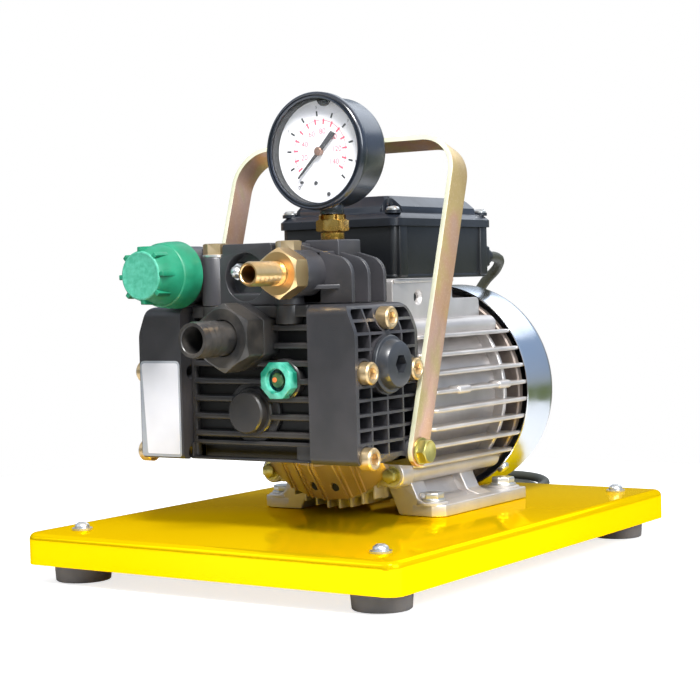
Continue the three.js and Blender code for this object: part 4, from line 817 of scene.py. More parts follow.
def makeShields(spec):
    front, back, bore = spec["front"], spec["back"], spec["bore"]
    profile = [(bore, front), *along(spec["disc"], front), (spec["rim"], back), (bore, back), (bore, front)]
    pieces = [spun(profile, "Y", (0, axle), 96)]
    screws = []
    for sx, sz in quarters:
        at = tieSpot(sx, sz)
        pieces.append(softened(barrel(spec["lug"], front + 1, back, "Y", at, 40), 1.2, 3))
        outline = rounded([(sx * x, axle + sz * z, radius) for x, z, radius in spec["arm"]], 4)
        pieces.append(softened(pulled(outline, "Y", front + 2, back - 2), 1, 2))
        screws.append(spun(along(spec["washer"], front), "Y", at, 32))
        low, high = spec["head"]
        screws.append(softened(hexBar(spec["flats"], front + low, front + high, "Y", at), 0.4, 2))
    for k in range(spec["fins"]):
        x, half = (k - (spec["fins"] - 1) / 2) * spec["pitch"], spec["fin"] / 2
        low, high = axle - halfChord(spec["finTip"], x), axle - spec["finRoot"]
        pieces.append(softened(block((x - half, front + 3, low), (x + half, back, high)), 0.3, 2))
    finished(together(*pieces), "front_shield_casting", "base", "cast", ["front_shield"])
    finished(together(*screws), "shield_screws", "base", "lime")
    rear = spun(spec["rear"], "Y", (0, axle), 96)
    # the rear shield gets the painted shade
    finished(rear, "rear_shield_casting", "base", "castPaintedShade", ["rear_shield"])


# the cone between the pump's underside and the motor, with pairs of webs and two drain holes

adapterSpec = {
    "front": (-54.7, 38), "back": (-38, 60.2), "end": -34.8, "bore": 30,
    "outline": [(-44.8, 27, 3), (-44.8, 21, 2), (-30, 16.5, 6), (-22, 12.6, 6), (0, 10.6, 30), (22, 12.6, 6),
                (30, 16.5, 6), (44.8, 21, 2), (44.8, 27, 3), (40, 46, 3), (-40, 46, 3)],
    "holes": (-6.4, 8.8), "holeHeight": 19.6, "hole": 2.8, "holeEnd": 13.6, "holeShadeDisc": (-42.8, -42.2),
    "pairs": (-26, -13.4, -1.5, 16, 25.8), "gap": 3, "web": 1.4, "webOver": 1.3, "webTop": 42,
    "ring": [(30, -54.7), (47, -54.7), (48, -53.7), (48, -36.3), (30, -36.3), (30, -54.7)], "ringLow": 45,
}


def makeAdapter(spec):
    (front, frontRadius), (back, backRadius) = spec["front"], spec["back"]
    end, bore, top = spec["end"], spec["bore"], spec["webTop"]
    outside = ((frontRadius, front), (backRadius, back), (backRadius, end))
    cone = spun([(bore, front), *outside, (bore, end), (bore, front)], "Y", (0, axle), 96)
    combined(cone, pulled(rounded(spec["outline"], 4), "Y", front - 2, end + 2), "INTERSECT")
    softened(cone, 0.7, 2, 50)
    shadeDiscs = []
    for x in spec["holes"]:
        at = (x, spec["holeHeight"])
        cut(cone, barrel(spec["hole"], front - 5, front + spec["holeEnd"], "Y", at, 28))
        # a dark disc deep in each drain hole: painted shade
        shadeDiscs.append(painted(barrel(spec["hole"] - 0.05, *spec["holeShadeDisc"], "Y", at, 28), "dark"))
    webs = []
    for middle in spec["pairs"]:
        for x in (middle - spec["gap"] / 2, middle + spec["gap"] / 2):
            low, backLow = (axle - halfChord(r, x) - spec["webOver"] for r in (frontRadius, backRadius))
            side = [(front - 0.8, top), (front - 0.8, low), (back - 0.8, backLow + 0.4), (end, backLow + 2),
                    (end, top)]
            webs.append(softened(pulled(side, "X", x - spec["web"] / 2, x + spec["web"] / 2), 0.4, 2, 50))
    ring = spun(spec["ring"], "Y", (0, axle), 96)
    painted(cut(ring, block((-60, front - 5, 0), (60, end + 2, spec["ringLow"]))), "crank")
    # the cone and its webs get the painted shade and tray reflection
    casting = together(painted(together(cone, *webs), "castPaintedShadeAndTrayReflection"), ring, *shadeDiscs)
    finished(casting, "adapter_casting", "base", None, ["pump_adapter"])


makeMotor(motorSpec)
makeFeet(feetSpec)
makePedestal(pedestalSpec)
makeShields(shieldSpec)
makeAdapter(adapterSpec)
print("motor made")

# fan cover and fan

coverSpec = {
    "radius": 70.4, "front": 93.8, "back": 137, "bend": 12, "sheet": 1,
    "slots": ((22, 31), (38, 47)), "spokes": 8, "spoke": 5.2, "screwAngles": (-48, 90, 228),
    "screw": [(0, -0.5), (4.4, -0.5), (4.4, 0.4), (3.4, 1.9), (1.8, 2.5), (0, 2.5)],  # heights over the sheet
}


def makeCover(spec):
    r, front, back, bend, sheet = (spec[key] for key in ("radius", "front", "back", "bend", "sheet"))
    angles = [math.pi / 20 * k for k in range(11)]
    outer, inner = (
        [(r - bend + size * math.cos(a),
          back - bend + size * math.sin(a)) for a in angles] for size in (bend, bend - sheet)
    )
    lip = [(r - sheet, front + 0.3), (r - sheet / 2, front), (r, front + 0.3)]
    cover = spun([(0, back - sheet)] + inner[::-1] + lip + outer + [(0, back)], "Y", (0, axle), 120)
    for low, high in spec["slots"]:
        for k in range(spec["spokes"]):
            share, spoke = 2 * math.pi / spec["spokes"], spec["spoke"] / 2 / low
            first, last = share * k + spoke, share * (k + 1) - spoke
            sweep = [first + (last - first) * i / 10 for i in range(11)]
            outline = [(high * math.cos(a), axle + high * math.sin(a)) for a in sweep]
            outline += [(low * math.cos(a), axle + low * math.sin(a)) for a in reversed(sweep)]
            cut(cover, pulled(outline, "Y", back - 4, back + 4))
    inside = lambda spot: math.hypot(spot.x, spot.z - axle) < r - sheet + 0.2 and spot.y < back - 0.5
    patched(painted(cover, "zinc"), "shade", lambda face: inside(face.center))
    finished(cover, "fan_cover_sheet", "base", None, ["fan_cover"], 40)
    screw = spun(along(spec["screw"], r), "X", (99, 0), 32)
    turns = [-math.radians(angle) for angle in spec["screwAngles"]]
    finished(together(*around(screw, "Y", (0, 0, axle), turns)), "fan_cover_screws", "base", "bright")


fanSpec = {
    "disc": [(0, 0), (13, 0), (20, 3), (52.6, 14), (52.6, 16), (20, 5.4), (13, 3), (13, 17.9), (0, 17.9)],
    "blade": [(12, 3), (20, 4), (50, 13), (50, 17.9), (12, 17.9)], "blades": 8, "thick": 2.2,
}


def makeFan(spec):
    # a cone of a disc from the hub's front to the rim's back, with straight blades on it
    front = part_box("cooling_fan")[0][1] / mm
    half = spec["thick"] / 2
    disc = spun(along(spec["disc"], front), "Y", (0, axle), 72)
    blade = softened(pulled(along(spec["blade"], front), "Z", -half, half), 0.4, 2)
    turns = [2 * math.pi * k / spec["blades"] for k in range(spec["blades"])]
    blades = around(blade, "Y", (0, 0, axle), turns)
    finished(together(disc, *blades), "radial_fan", "rotor", "dark", ["cooling_fan"])


makeCover(coverSpec)
makeFan(fanSpec)
print("fan cover made")

# terminal box, its lid and the gland

boxSpec = {
    "width": 86, "front": -21, "back": 94, "low": 146.5, "high": 180.2, "corner": 5, "wall": 3, "taper": 1.2,
    "pillar": 9.2, "pillarX": 3.6, "pillarY": 8, "flange": (0.6, 2.6),
    "lidOver": 2.4, "lidRim": 7.2, "lidRise": 10.4, "notch": 15, "screwIn": 4.2,
    "lidSteps": ((0, -1.2), (0, 3.4), (2.8, 6.4), (5, 7.2), (5.8, 11), (14, 17.8)),
     # drawn in, over the box's rim
    "post": [(0, -1), (5, -1), (5, 1), (0, 1)],
    "screw": [(0, 0), (4.2, 0), (4.2, 2), (3, 3.2), (0, 3.6)], "slot": ((-3.4, -0.5, 2.4), (3.4, 0.5, 5)),
}


def ringBody(levels, steps=6):
    # closed body through stacked rounded rectangles: half width, front, back, corner, height
    points, faces = [], []
    for half, front, back, corner, z in levels:
        corners = [(-half, front, corner), (half, front, corner), (half, back, corner), (-half, back, corner)]
        outline = rounded(corners, steps)
        points += [(x, y, z) for x, y in outline]
    count = len(outline)
    for i in range(len(levels) - 1):
        for k in range(count):
            a, b = i * count + k, i * count + (k + 1) % count
            faces.append((a, b, b + count, a + count))
    faces += [tuple(reversed(range(count))), tuple(range(len(points) - count, len(points)))]
    return meshPiece(points, [], faces)


def makeBox(spec):
    half, front, back = spec["width"] / 2, spec["front"], spec["back"]
    low, high, corner, wall = spec["low"], spec["high"], spec["corner"], spec["wall"]

    def level(inset, radius, z):
        return half - inset, front + inset, back - inset, radius, z

    body = ringBody([level(spec["taper"], corner, low), level(0, corner, high)])
    cut(body, ringBody([level(wall + 1, 2, low + wall), level(wall, 2, high + 4)]))
    softened(body, 0.6, 3, 50)
    pillars = []
    for x in (spec["pillarX"] - half, half - spec["pillarX"]):
        for y in (front + spec["pillarY"], back - spec["pillarY"]):
            size = spec["pillar"] / 2
            pillar = block((x - size, y - size, low + 1), (x + size, y + size, high - 0.3))
            pillars.append(softened(pillar, 1.2, 3, 50))
    inset, rise = spec["flange"]
    flange = softened(ringBody([level(inset, corner, low), level(inset, corner, low + rise)]), 0.6, 2)
    finished(together(body, *pillars, flange), "terminal_box_moulding", "base", "box", ["terminal_box"])


def makeLid(spec):
    half, front, back, high = spec["width"] / 2, spec["front"], spec["back"], spec["high"]
    over = spec["lidOver"]
    shoulder = high + 0.3 + spec["lidRim"]
    top = shoulder + spec["lidRise"]
    corner = spec["corner"] + over
    lid = ringBody([(half + over - s, front - over + s, back + over - s, corner - s * 0.2, high + rise)
                    for s, rise in spec["lidSteps"]])
    cut(lid, ringBody([(half - 3, front + 3, back - 3, 2, high - 2),
                       (half - 12, front + 12, back - 12, 2, top - 3)]))
    screws = []
    for sx in (-1, 1):
        for y, sy in ((front, 1), (back, -1)):
            x, reach, y0 = sx * (half + over), spec["notch"], y - sy * over
            corners = [(x, y0, 0), (x - sx * reach, y0, 0), (x - sx * reach, y0 + sy * reach, 5),
                       (x, y0 + sy * reach, 0)]
            cut(lid, pulled(rounded(corners, 6), "Z", shoulder + 0.2, top + 3))
            at = (sx * (half - spec["screwIn"]), y + sy * spec["screwIn"])
            lid = together(spun(along(spec["post"], shoulder), "Z", at, 32), lid)
            head = spun(along(spec["screw"], shoulder), "Z", at, 32)
            slot = block(*(added(point, (*at, shoulder)) for point in spec["slot"]))
            screws.append(cut(head, slot))
    softened(lid, 0.7, 3, 28)
    finished(lid, "terminal_lid_moulding", "base", "lid", ["terminal_lid"])
    finished(together(*screws), "lid_screws", "base", "bright")


glandSpec = {
    "at": (28, 160), "flats": 21, "nut": (94.3, 103.3),
    "neck": [(0, 90), (7.6, 90), (7.6, 94.5), (10.2, 94.5)],
    "start": 103.6, "rings": 7, "pitch": 2, "radius": 9.6, "shrink": 0.72,
    "ring": ((0, 0.3), (-0.1, 1.3), (-0.9, 1.5), (-0.9, 1.9)),
    "tip": [(4.6, 117.9), (3.9, 118.3), (0, 118.3)],
}


def makeGland(spec):
    nut = softened(hexBar(spec["flats"], *spec["nut"], "Y", spec["at"]), 0.7, 3)
    profile = spec["neck"] + [(10.2, spec["start"])]
    for k in range(spec["rings"]):
        y, r = spec["start"] + k * spec["pitch"], spec["radius"] - k * spec["shrink"]
        profile += [(r + less, y + step) for less, step in spec["ring"]]
    dome = spun(profile + spec["tip"], "Y", spec["at"], 48)
    finished(together(nut, dome), "cable_gland_moulding", "base", "box", ["cable_gland"])


makeBox(boxSpec)
makeLid(boxSpec)
makeGland(glandSpec)
print("terminal box made")

# pump: crankcase with its ribs and bosses

crankSpec = {
    "body": ((-45.7, -109.6, 42.3), (45.7, -55.5, 133)),
    "hollows": (((-29.4, -99, 46.6), (29.4, -53, 95.4)), ((-44, -112.6, 39), (31, -102.6, 50.4))),
    "bores": ((24.6, 42, 50), (24.6, -50, -42), (12.8, -50, 50)),  # radius, start and end along X
    "mouth": (18, -105, -95),
    "ribs": 7, "ribLow": 57.85, "pitch": 10.35, "rib": ((-42, -115, -1.8), (42, -108.6, 1.8)),
    "bars": (  # low corner, high corner, rounding and its steps
        ((-42, -114.6, 51.6), (42, -108.6, 54), 0.7, 2),
        ((-45.7, -112.6, 42.3), (-42, -108.6, 129), 0.8, 2),
        ((-45.7, -114.4, 42.3), (-44, -101.6, 52), 0.8, 2),
        ((42, -112.6, 42.3), (45.7, -108.6, 129), 0.8, 2),
        ((31.5, -114.4, 42.3), (45.7, -101.6, 52), 0.8, 2),
        ((-45.7, -115.2, 42.3), (45.7, -107.6, 43.8), 0.6, 2),
        ((-42, -115, 126), (42, -108.6, 133), 1, 3),
    ),
    "bosses": (
        ((0, axle), [(0, -105), (18.6, -105), (18.6, -111.6), (17.8, -112.4), (0, -112.4)]),
        ((0, axle), [(0, -108), (14.6, -108), (14.6, -114.2), (13.8, -115.2), (0, -115.2)]),
        (ports["sight"], [(0, -108), (12.2, -108), (12.2, -114.4), (11.4, -115.2), (0, -115.2)]),
        (ports["suction"], [(7.6, -112), (12.3, -112), (12.3, -133.2), (7.6, -133.2), (7.6, -112)]),
    ),
    "hexBoss": (34.4, -123.4, -108), "boltBoss": (8.5, 122, 133),
}


def makeCrankcase(spec):
    body = block(*spec["body"])
    cut(body, *(block(*hollow) for hollow in spec["hollows"]))
    cut(body, *(barrel(*bore, "X", ports["chamber"], 48) for bore in spec["bores"][:2]))
    cut(body, barrel(*spec["bores"][2], "X", ports["chamber"], 40),
        barrel(*spec["mouth"], "Y", (0, axle), 48))
    ribs = []
    for k in range(spec["ribs"]):
        z = spec["ribLow"] + k * spec["pitch"]
        ribs.append(softened(block(*(added(corner, (0, 0, z)) for corner in spec["rib"])), 1, 3))
    for low, high, width, steps in spec["bars"]:
        ribs.append(softened(block(low, high), width, steps))
    bosses = [spun(profile, "Y", at, 64) for at, profile in spec["bosses"]]
    bosses.append(softened(hexBar(*spec["hexBoss"], "Y", ports["suction"]), 0.8, 3, 28))
    for at in manifoldBolts:
        bosses.append(softened(barrel(*spec["boltBoss"], "Z", at, 40), 0.6, 2))
    # the body between the ribs gets the painted recess shade; the ribs and bosses keep the casting's black
    painted(softened(body, 0.8, 3, 50), "deep")
    raised = painted(together(*ribs, *bosses), "crank")
    finished(together(body, raised), "crankcase_casting", "base", None, ["crankcase"])


# pump: oil sight plug and bearing cap

sightSpec = {
    "flats": 21, "depth": (-122.3, -115.3),
    "mouth": [(0, -124), (7.2, -124), (6.8, -121), (6.2, -117.4), (0, -117.4)],
    "well": [(0, -117.3), (6.9, -117.3), (6.7, -119.4), (6.3, -119.4), (6.1, -117.8), (0, -117.8)],
    "bottom": [(0, -117.6), (4.3, -117.6), (4.2, -119.6), (3.6, -120.1), (0, -120.2)], "bottomOff": (-0.4, 0),
    "dot": [(0, -120.1), (1.5, -120.1), (1.4, -120.6), (0, -120.8)], "dotOff": (-1.9, 0.3),
    "cap": [(0, -115.4), (12.2, -115.4), (12.2, -120.2), (11.4, -121.2), (9.4, -121.4), (0, -121.1)],
}


def makeSight(spec):
    at, eighth = ports["sight"], math.pi / 8
    head = barrel(spec["flats"] / 2 / math.cos(eighth), *spec["depth"], "Y", (0, 0), 8)
    swung(head, eighth, "Y", (at[0], 0, at[1]))
    cut(head, spun(spec["mouth"], "Y", at, 48))
    finished(softened(head, 1.1, 3, 30), "sight_plug_moulding", "base", "sight", ["oil_sight_plug"])
    finished(spun(spec["well"], "Y", at, 48), "sight_well", "base", "well")
    finished(spun(spec["bottom"], "Y", added(at, spec["bottomOff"]), 40), "sight_bottom", "base", "olive")
    finished(spun(spec["dot"], "Y", added(at, spec["dotOff"]), 32), "sight_dot", "base", "dot")
    finished(spun(spec["cap"], "Y", (0, axle), 72), "bearing_cap_disc", "base", "crank", ["bearing_cap"])


makeCrankcase(crankSpec)
makeSight(sightSpec)
print("crankcase made")

# pump: heads with their pockets, screws and plugs

headSpec = {
    "inner": 46, "outer": 78.3, "front": -121.5, "back": -55.5, "low": 42.3, "high": 133, "bottomCorner": 4,
    "backCorner": 9, "frontCorner": 6, "pocket": 12, "wall": 2.2, "frontWall": 2.4, "lowWall": 0.4,
    "columns": (-105.7, -89, -72.6), "rows": (46.2, 54, 62, 70.3, 78.7, 86.3, 94, 99, 107.2, 116, 123.4),
    "rib": 1.6, "leastCell": 4, "chamber": 20, "bore": 4.3, "boltBoss": 8.6,
    "screws": ((-112.5, 94), (-112.5, 46), (-64.5, 94), (-88.5, 124.5)), "screwBoss": 8.4, "screwFace": 7.2,
    "plug": (-88.5, 98), "plugBoss": 17.6, "plugBore": 13.2, "seat": 2, "topSeat": 3.6,
    "lean": (6.5, 117, 16, 5),  # how far in at the top, the height where it starts, and the two roundings
}
screwSpec = {
    "profile": [(0, -20), (4, -20), (4, 0), (6.2, 0), (6.5, 0.4), (6.5, 7), (5.6, 8), (4.4, 8), (4, 7.5),
                (0, 7.5)],
    "key": (6.4, 3.6, 10),
}
plugSeatSpec = {
    "seat": 0.3, "key": (10, 2, 12),
    "profile": [(0, -16), (12, -16), (12, 0), (16.2, 0), (16.6, 0.4), (16.6, 2.2), (16.2, 2.6), (14.6, 2.8),
                (14.4, 3.4), (14, 6.4), (12.9, 8.2), (11, 9), (0, 9)],
}
handleBoltSpec = {
    "seat": 83.6, "washer": [(0, 0), (8, 0), (8, 1.2), (7.6, 1.4), (0, 1.4)], "shank": (4, -30, 1),
    "head": (13, 1.4, 6.7), "crown": [(0, 0), (9.5, 0), (9.5, 4.1), (6.1, 6.7), (0, 6.7)],
}


def headOutline(spec, grow=0):
    front, back = spec["front"] + grow, spec["back"] - grow
    low, high = spec["low"] + grow, spec["high"] - grow
    bottom = spec["bottomCorner"]
    corners = [(front, low, bottom), (back, low, bottom), (back, high, spec["backCorner"] - grow),
               (front, high, spec["frontCorner"])]
    return rounded(corners, 6)


def pocketCells(spec, floor):
    half, cells = spec["rib"] / 2, []
    ys = (spec["front"] + spec["frontWall"], *spec["columns"], spec["back"] - spec["wall"])
    zs = (spec["low"] + spec["lowWall"], *spec["rows"], spec["high"] - spec["wall"])
    for a, b in zip(ys, ys[1:]):
        for c, d in zip(zs, zs[1:]):
            if d - c >= spec["leastCell"]:
                cells.append(block((floor, a + half, c + half), (spec["outer"] + 4, b - half, d - half)))
    return together(*cells)


def makeHead(spec):
    inner, outer, bolt, bore = spec["inner"], spec["outer"], ports["handleBolt"], spec["bore"]
    head, floor = pulled(headOutline(spec), "X", inner, outer), outer - spec["pocket"]
    pocket = pocketCells(spec, floor)
    combined(pocket, pulled(headOutline(spec, spec["wall"]), "X", floor - 2, outer + 6), "INTERSECT")
    for at in spec["screws"]:
        cut(pocket, barrel(spec["screwBoss"], floor - 4, outer + 8, "X", at, 40))
    cut(pocket, barrel(spec["plugBoss"], floor - 4, outer + 8, "X", spec["plug"], 56))
    cut(pocket, barrel(spec["screwBoss"], floor - 4, outer + 8, "X", bolt, 40))
    cut(head, pocket)
    for at in spec["screws"]:
        cut(head, barrel(spec["screwFace"], outer - 2, outer + 4, "X", at, 40))
    cut(head, barrel(spec["plugBore"], outer - 16, outer + 4, "X", spec["plug"], 48))
    cut(head, barrel(spec["chamber"], inner - 2, inner + 6, "X", ports["chamber"], 48))
    cut(head, *(barrel(bore, inner - 2, outer + 4, "X", at, 24) for at in (*spec["screws"], bolt)))
    inward, start, sideRound, topRound = spec["lean"]
    inside, low, high = inner - 1, spec["low"] - 1, spec["high"] + 0.01
    profile = [(inside, low, 0), (outer, low, 0), (outer, start, sideRound), (outer - inward, high, topRound),
               (inside, high, 0)]
    combined(head, pulled(rounded(profile, 6), "Y", spec["front"] - 2, spec["back"] + 2), "INTERSECT")
    softened(head, 0.55, 2, 40)
    boss = softened(barrel(spec["boltBoss"], 60, 80, "X", bolt, 48), 0.6, 2)
    return together(cut(boss, barrel(bore, 50, 90, "X", bolt, 24)), head)


def keyed(spec, seat, at, steps):
    # a turned head on its seat along X, with a hexagonal hole for the key
    piece = spun(along(spec["profile"], seat), "X", at, steps)
    flats, low, high = spec["key"]
    return cut(piece, hexBar(flats, seat + low, seat + high, "X", at))


def hexScrew(spec, axis, at):
    # washer, shank and crowned head, apart so that each can have a look of its own
    seat = spec["seat"]
    washer = spun(along(spec["washer"], seat), axis, at, 48)
    radius, low, high = spec["shank"]
    shank = barrel(radius, seat + low, seat + high, axis, at, 24)
    flats, low, high = spec["head"]
    head = hexBar(flats, seat + low, seat + high, axis, at)
    combined(head, spun(along(spec["crown"], seat), axis, at, 48), "INTERSECT")
    return washer, shank, softened(head, 0.25, 2, 30)


for side, turned in (("right", plain), ("left", mirrored)):
    finished(turned(makeHead(headSpec)), f"{side}_head_moulding", "base", "pump", [f"{side}_head"])
    seat = headSpec["outer"] + plugSeatSpec["seat"]
    valvePlug = turned(softened(keyed(plugSeatSpec, seat, headSpec["plug"], 72), 0.35, 2, 40))
    finished(valvePlug, f"{side}_valve_plug_moulding", "base", "cork", [f"{side}_valve_plug"])
    for k, at in enumerate(headSpec["screws"]):
        seat = headSpec["outer"] - headSpec["topSeat" if at[1] > 120 else "seat"]
        screw = turned(softened(keyed(screwSpec, seat, at, 56), 0.18, 2, 50))
        finished(screw, f"{side}_cap_screw_{k + 1}", "base", "screw", [f"{side}_head_screw_{k + 1}"])
    bolt = turned(together(*hexScrew(handleBoltSpec, "X", ports["handleBolt"])))
    finished(bolt, f"{side}_handle_bolt", "base", "lime", [f"handle_bolt_{side}"])
print("heads made")

# label: a bare foil plate with a grey edge, on the left head's front

labelSpec = {
    "face": -121.5,
    "edge": [(-77.6, 43.7, 1.5), (-47.4, 43.7, 1.5), (-47.4, 101, 3), (-77.6, 101, 3)],
    "edgeRise": (0.5, 0.02),
    "foil": [(-73.1, 45.3, 1), (-48.4, 45.3, 1), (-48.4, 99.6, 2), (-76.4, 99.6, 2)], "foilRise": (0.7, 0.4),
}


def makeLabel(spec):
    layers = []
    for part, look in (("edge", "band"), ("foil", "plate")):
        front, back = (spec["face"] - rise for rise in spec[f"{part}Rise"])
        layers.append(painted(pulled(rounded(spec[part], 4), "Y", front, back), look))
    finished(together(*layers), "bare_label", "base")


makeLabel(labelSpec)

# manifold on top of the pump

manifoldSpec = {
    "low": 133.3, "webs": (-105.5, -89, -72.5), "web": 3,
    "slope": [(-68, 133.3, 0.6), (68, 133.3, 0.6), (68, 157.4, 11), (27, 169, 14), (-34, 169, 8),
              (-68, 157.4, 11)],
    "face": [(-26.7, 133.3, 0), (26.7, 133.3, 0), (26.7, 161.3, 1), (18, 161.3, 1.5), (18, 169, 2),
             (-18, 169, 2), (-18, 161.3, 1.5), (-26.7, 161.3, 1)], "faceDepth": (-115, -99),
    "arch": [(0, -120), (14.4, -120), (13.9, -107.4), (0, -107.2)], "archAt": (-1.5, 149.6),
    "blocks": {  # low corner, high corner, rounding and its steps
        "core": ((-47, -107, 133.3), (47, -70.3, 163.4), 0.9, 3),
        "ridge": ((-34, -108, 158), (30, -70.3, 168.2), 1.2, 3),
        "shelf": ((-26, -114.2, 133.3), (26, -106, 140.3), 1.4, 3),
        "gaugeBase": ((26.2, -93.2, 158), (49.8, -69.8, 170), 0.9, 3),
    },
    "well": ((-60, -107, 143), (-36, -89, 160)),
    "column": [(0, 133.3), (8.5, 133.3), (8.5, 160.8), (7.9, 161.7), (0, 161.7)],
    "columnBore": (4.3, 131.3, 175),
    "boss": [(0, -104), (13.4, -104), (13, -121), (12, -123.1), (4.9, -123.1), (4.9, -112), (0, -112)],
    "stub": [(4.9, -112), (9, -112), (9, -130.9), (4.9, -130.9), (4.9, -112)],
    "gusset": [(37, -119), (60, -106.8), (60, -105), (37, -105)], "gussetHeight": (141.6, 144.2),
    "sleeve": [(9.2, -100), (17, -100), (17, -121.8), (16.3, -122.5), (9.2, -122.5), (9.2, -100)],
    "sleeveBore": (9.2, -125, -92.2),
}
manifoldBoltSpec = {
    "seat": 161.9, "washer": [(0, 0), (8, 0), (8, 1.1), (7.7, 1.4), (0, 1.4)], "shank": (4, -37.9, 1),
    "head": (13, 1.4, 8), "crown": [(0, 0), (9.5, 0), (9.5, 6.6), (6.1, 8), (0, 8)],
}
domeNutSpec = {
    "at": (-7.4, 152.8), "hex": (8.6, -114.6, -108.6),
    "dome": [(0, -108), (3.9, -108), (3.9, -114.6), (3.6, -116), (2.8, -117.6), (1.5, -118.6), (0, -119)],
}


def makeManifold(spec):
    regulator, half = ports["regulator"], spec["web"] / 2
    outline = rounded(spec["slope"], 8)
    webs = [softened(pulled(outline, "Y", y - half, y + half), 0.8, 3, 50) for y in spec["webs"]]
    front = pulled(rounded(spec["face"], 4), "Y", *spec["faceDepth"])
    softened(cut(front, spun(spec["arch"], "Y", spec["archAt"], 64)), 0.8, 3, 40)
    blocks = {}
    for name, (low, high, width, steps) in spec["blocks"].items():
        blocks[name] = softened(block(low, high), width, steps)
    columns = []
    for at in manifoldBolts:
        columns.append(cut(spun(spec["column"], "Z", at, 64), barrel(*spec["columnBore"], "Z", at, 24)))
    boss = spun(spec["boss"], "Y", ports["delivery"], 64)
    stub = spun(spec["stub"], "Y", ports["delivery"], 48)
    gusset = softened(pulled(spec["gusset"], "Z", *spec["gussetHeight"]), 0.6, 2)
    sleeve = spun(spec["sleeve"], "Y", regulator, 64)
    well = block(*spec["well"])
    for piece in (blocks["core"], well, webs[0]):
        cut(piece, barrel(*spec["sleeveBore"], "Y", regulator, 48))
    pieces = [*blocks.values(), front, *columns, boss, stub, gusset, sleeve, well, *webs]
    finished(together(*pieces), "manifold_moulding", "base", "pump", ["manifold"])


def makeManifoldBolts(spec):
    for side, at in zip(("left", "right"), manifoldBolts):
        made = zip(hexScrew(spec, "Z", at), ("bright", "gold", "screw"))
        bolt = together(*(painted(part, look) for part, look in made))
        finished(bolt, f"manifold_bolt_{side}_head", "base", None, [f"manifold_bolt_{side}"])


def makeDomeNut(spec):
    dome = spun(spec["dome"], "Y", spec["at"], 48)
    base = softened(hexBar(*spec["hex"], "Y", spec["at"]), 0.3, 2)
    finished(together(dome, base), "dome_nut", "base", "bright")


makeManifold(manifoldSpec)
makeManifoldBolts(manifoldBoltSpec)
makeDomeNut(domeNutSpec)
print("manifold made")

# hose tails and their nuts

connectionSpecs = {
    "suction": {
        "look": "hose", "tailBack": -133.5, "flange": 12.3, "radius": 10.5, "bore": 7.6, "length": 31.6,
        "barbs": 4,
        "step": 0.6, "plain": 0.36, "nutBack": -123.8, "nutLength": 16.4, "flats": 35, "hole": 10.8,
        "lip": 3.4,
        "inner": 12.6, "edge": 0.9,
    },
    "delivery": {
        "look": "brass", "tailBack": -131.2, "flange": 9, "radius": 7, "bore": 4.9, "length": 29.4,
        "barbs": 7,
        "step": 0.8, "plain": 0.08, "nutBack": -123.4, "nutLength": 12.6, "flats": 25.5, "hole": 7.3,
        "lip": 2.1,
        "inner": 9.3, "edge": 0.4,
    },
}


def makeTail(name, spec):
    back, bore, radius, length = spec["tailBack"], spec["bore"], spec["radius"], spec["length"]
    front, neck, smooth = back - 2.4, radius - spec["step"], length * spec["plain"]
    pitch = (length - smooth) / spec["barbs"]
    profile = [(bore, back), (spec["flange"], back), (spec["flange"], front), (neck, front),
               (neck, front - smooth)]
    for k in range(spec["barbs"]):
        y = front - smooth - k * pitch
        profile += [(radius, y - 0.2), (radius, y - pitch * 0.4), (neck, y - pitch * 0.86), (neck, y - pitch)]
    end = front - length
    profile += [(neck - 0.6, end), (bore + 0.4, end), (bore, end + 0.5), (bore, back)]
    tail = spun(profile, "Y", ports[name], 72)
    finished(tail, f"{name}_hose_tail", "base", spec["look"], [f"{name}_tail"], 30)


def makeUnionNut(name, spec):
    at, back, radius = ports[name], spec["nutBack"], spec["flats"] / 2
    corner = spec["flats"] / math.sqrt(3) + 0.2
    front = back - spec["nutLength"]
    lip = front + spec["lip"]
    nut = softened(hexBar(spec["flats"], front, back, "Y", at), spec["edge"], 4)
    slope = (corner - radius + 0.6) * 0.6
    crown = [(0, front), (radius - 0.6, front), (corner, front + slope), (corner, back - slope),
             (radius - 0.2, back), (0, back)]
    combined(nut, spun(crown, "Y", at, 96), "INTERSECT")
    cut(nut, barrel(spec["hole"], front - 2, lip + 2, "Y", at, 56),
        barrel(spec["inner"], lip, back + 2, "Y", at, 56))
    finished(nut, f"{name}_union_nut", "base", spec["look"], [f"{name}_nut"], 20)


for name, spec in connectionSpecs.items():
    makeTail(name, spec)
    makeUnionNut(name, spec)
print("hose tails made")

# regulator knob

knobSpec = {
    "body": [(0, -121), (17.4, -121), (17.4, -120), (19.3, -120), (20, -120.8), (19.7, -128), (18.9, -135),
             (18.4, -136), (18.1, -136.2), (17.4, -141), (16.4, -146), (15.2, -150), (14.3, -153.1),
             (13.9, -153.75), (13.2, -154), (12.4, -153.75), (8, -153.9), (0, -154)],
    "wings": 8, "thick": 3, "turned": 0.05, "frosted": -152.8,
    "wing": [(0, -150, 0), (13.4, -153.6, 0), (16.8, -153.2, 0.5), (17.3, -137, 1), (0, -135, 0)],
}


def makeKnob(spec):
    x, z = ports["regulator"]
    body = painted(spun(spec["body"], "Y", (x, z), 96), "green")
    patched(body, "frost", lambda face: face.center.y < spec["frosted"])
    half = spec["thick"] / 2
    wing = painted(softened(pulled(rounded(spec["wing"], 3), "Z", -half, half), 0.45, 2, 40), "green")
    turns = [2 * math.pi * k / spec["wings"] - spec["turned"] for k in range(spec["wings"])]
    wings = around(wing, "Y", (x, 0, z), turns)
    for wing in wings:
        patched(wing, "shadow", lambda face: face.normal.z < -0.35)
    finished(together(body, *wings), "regulator_hand_knob", "knob", None, ["regulator_knob"], 32)


makeKnob(knobSpec)
print("knob made")

# pressure gauge: case, glass, dial and needle

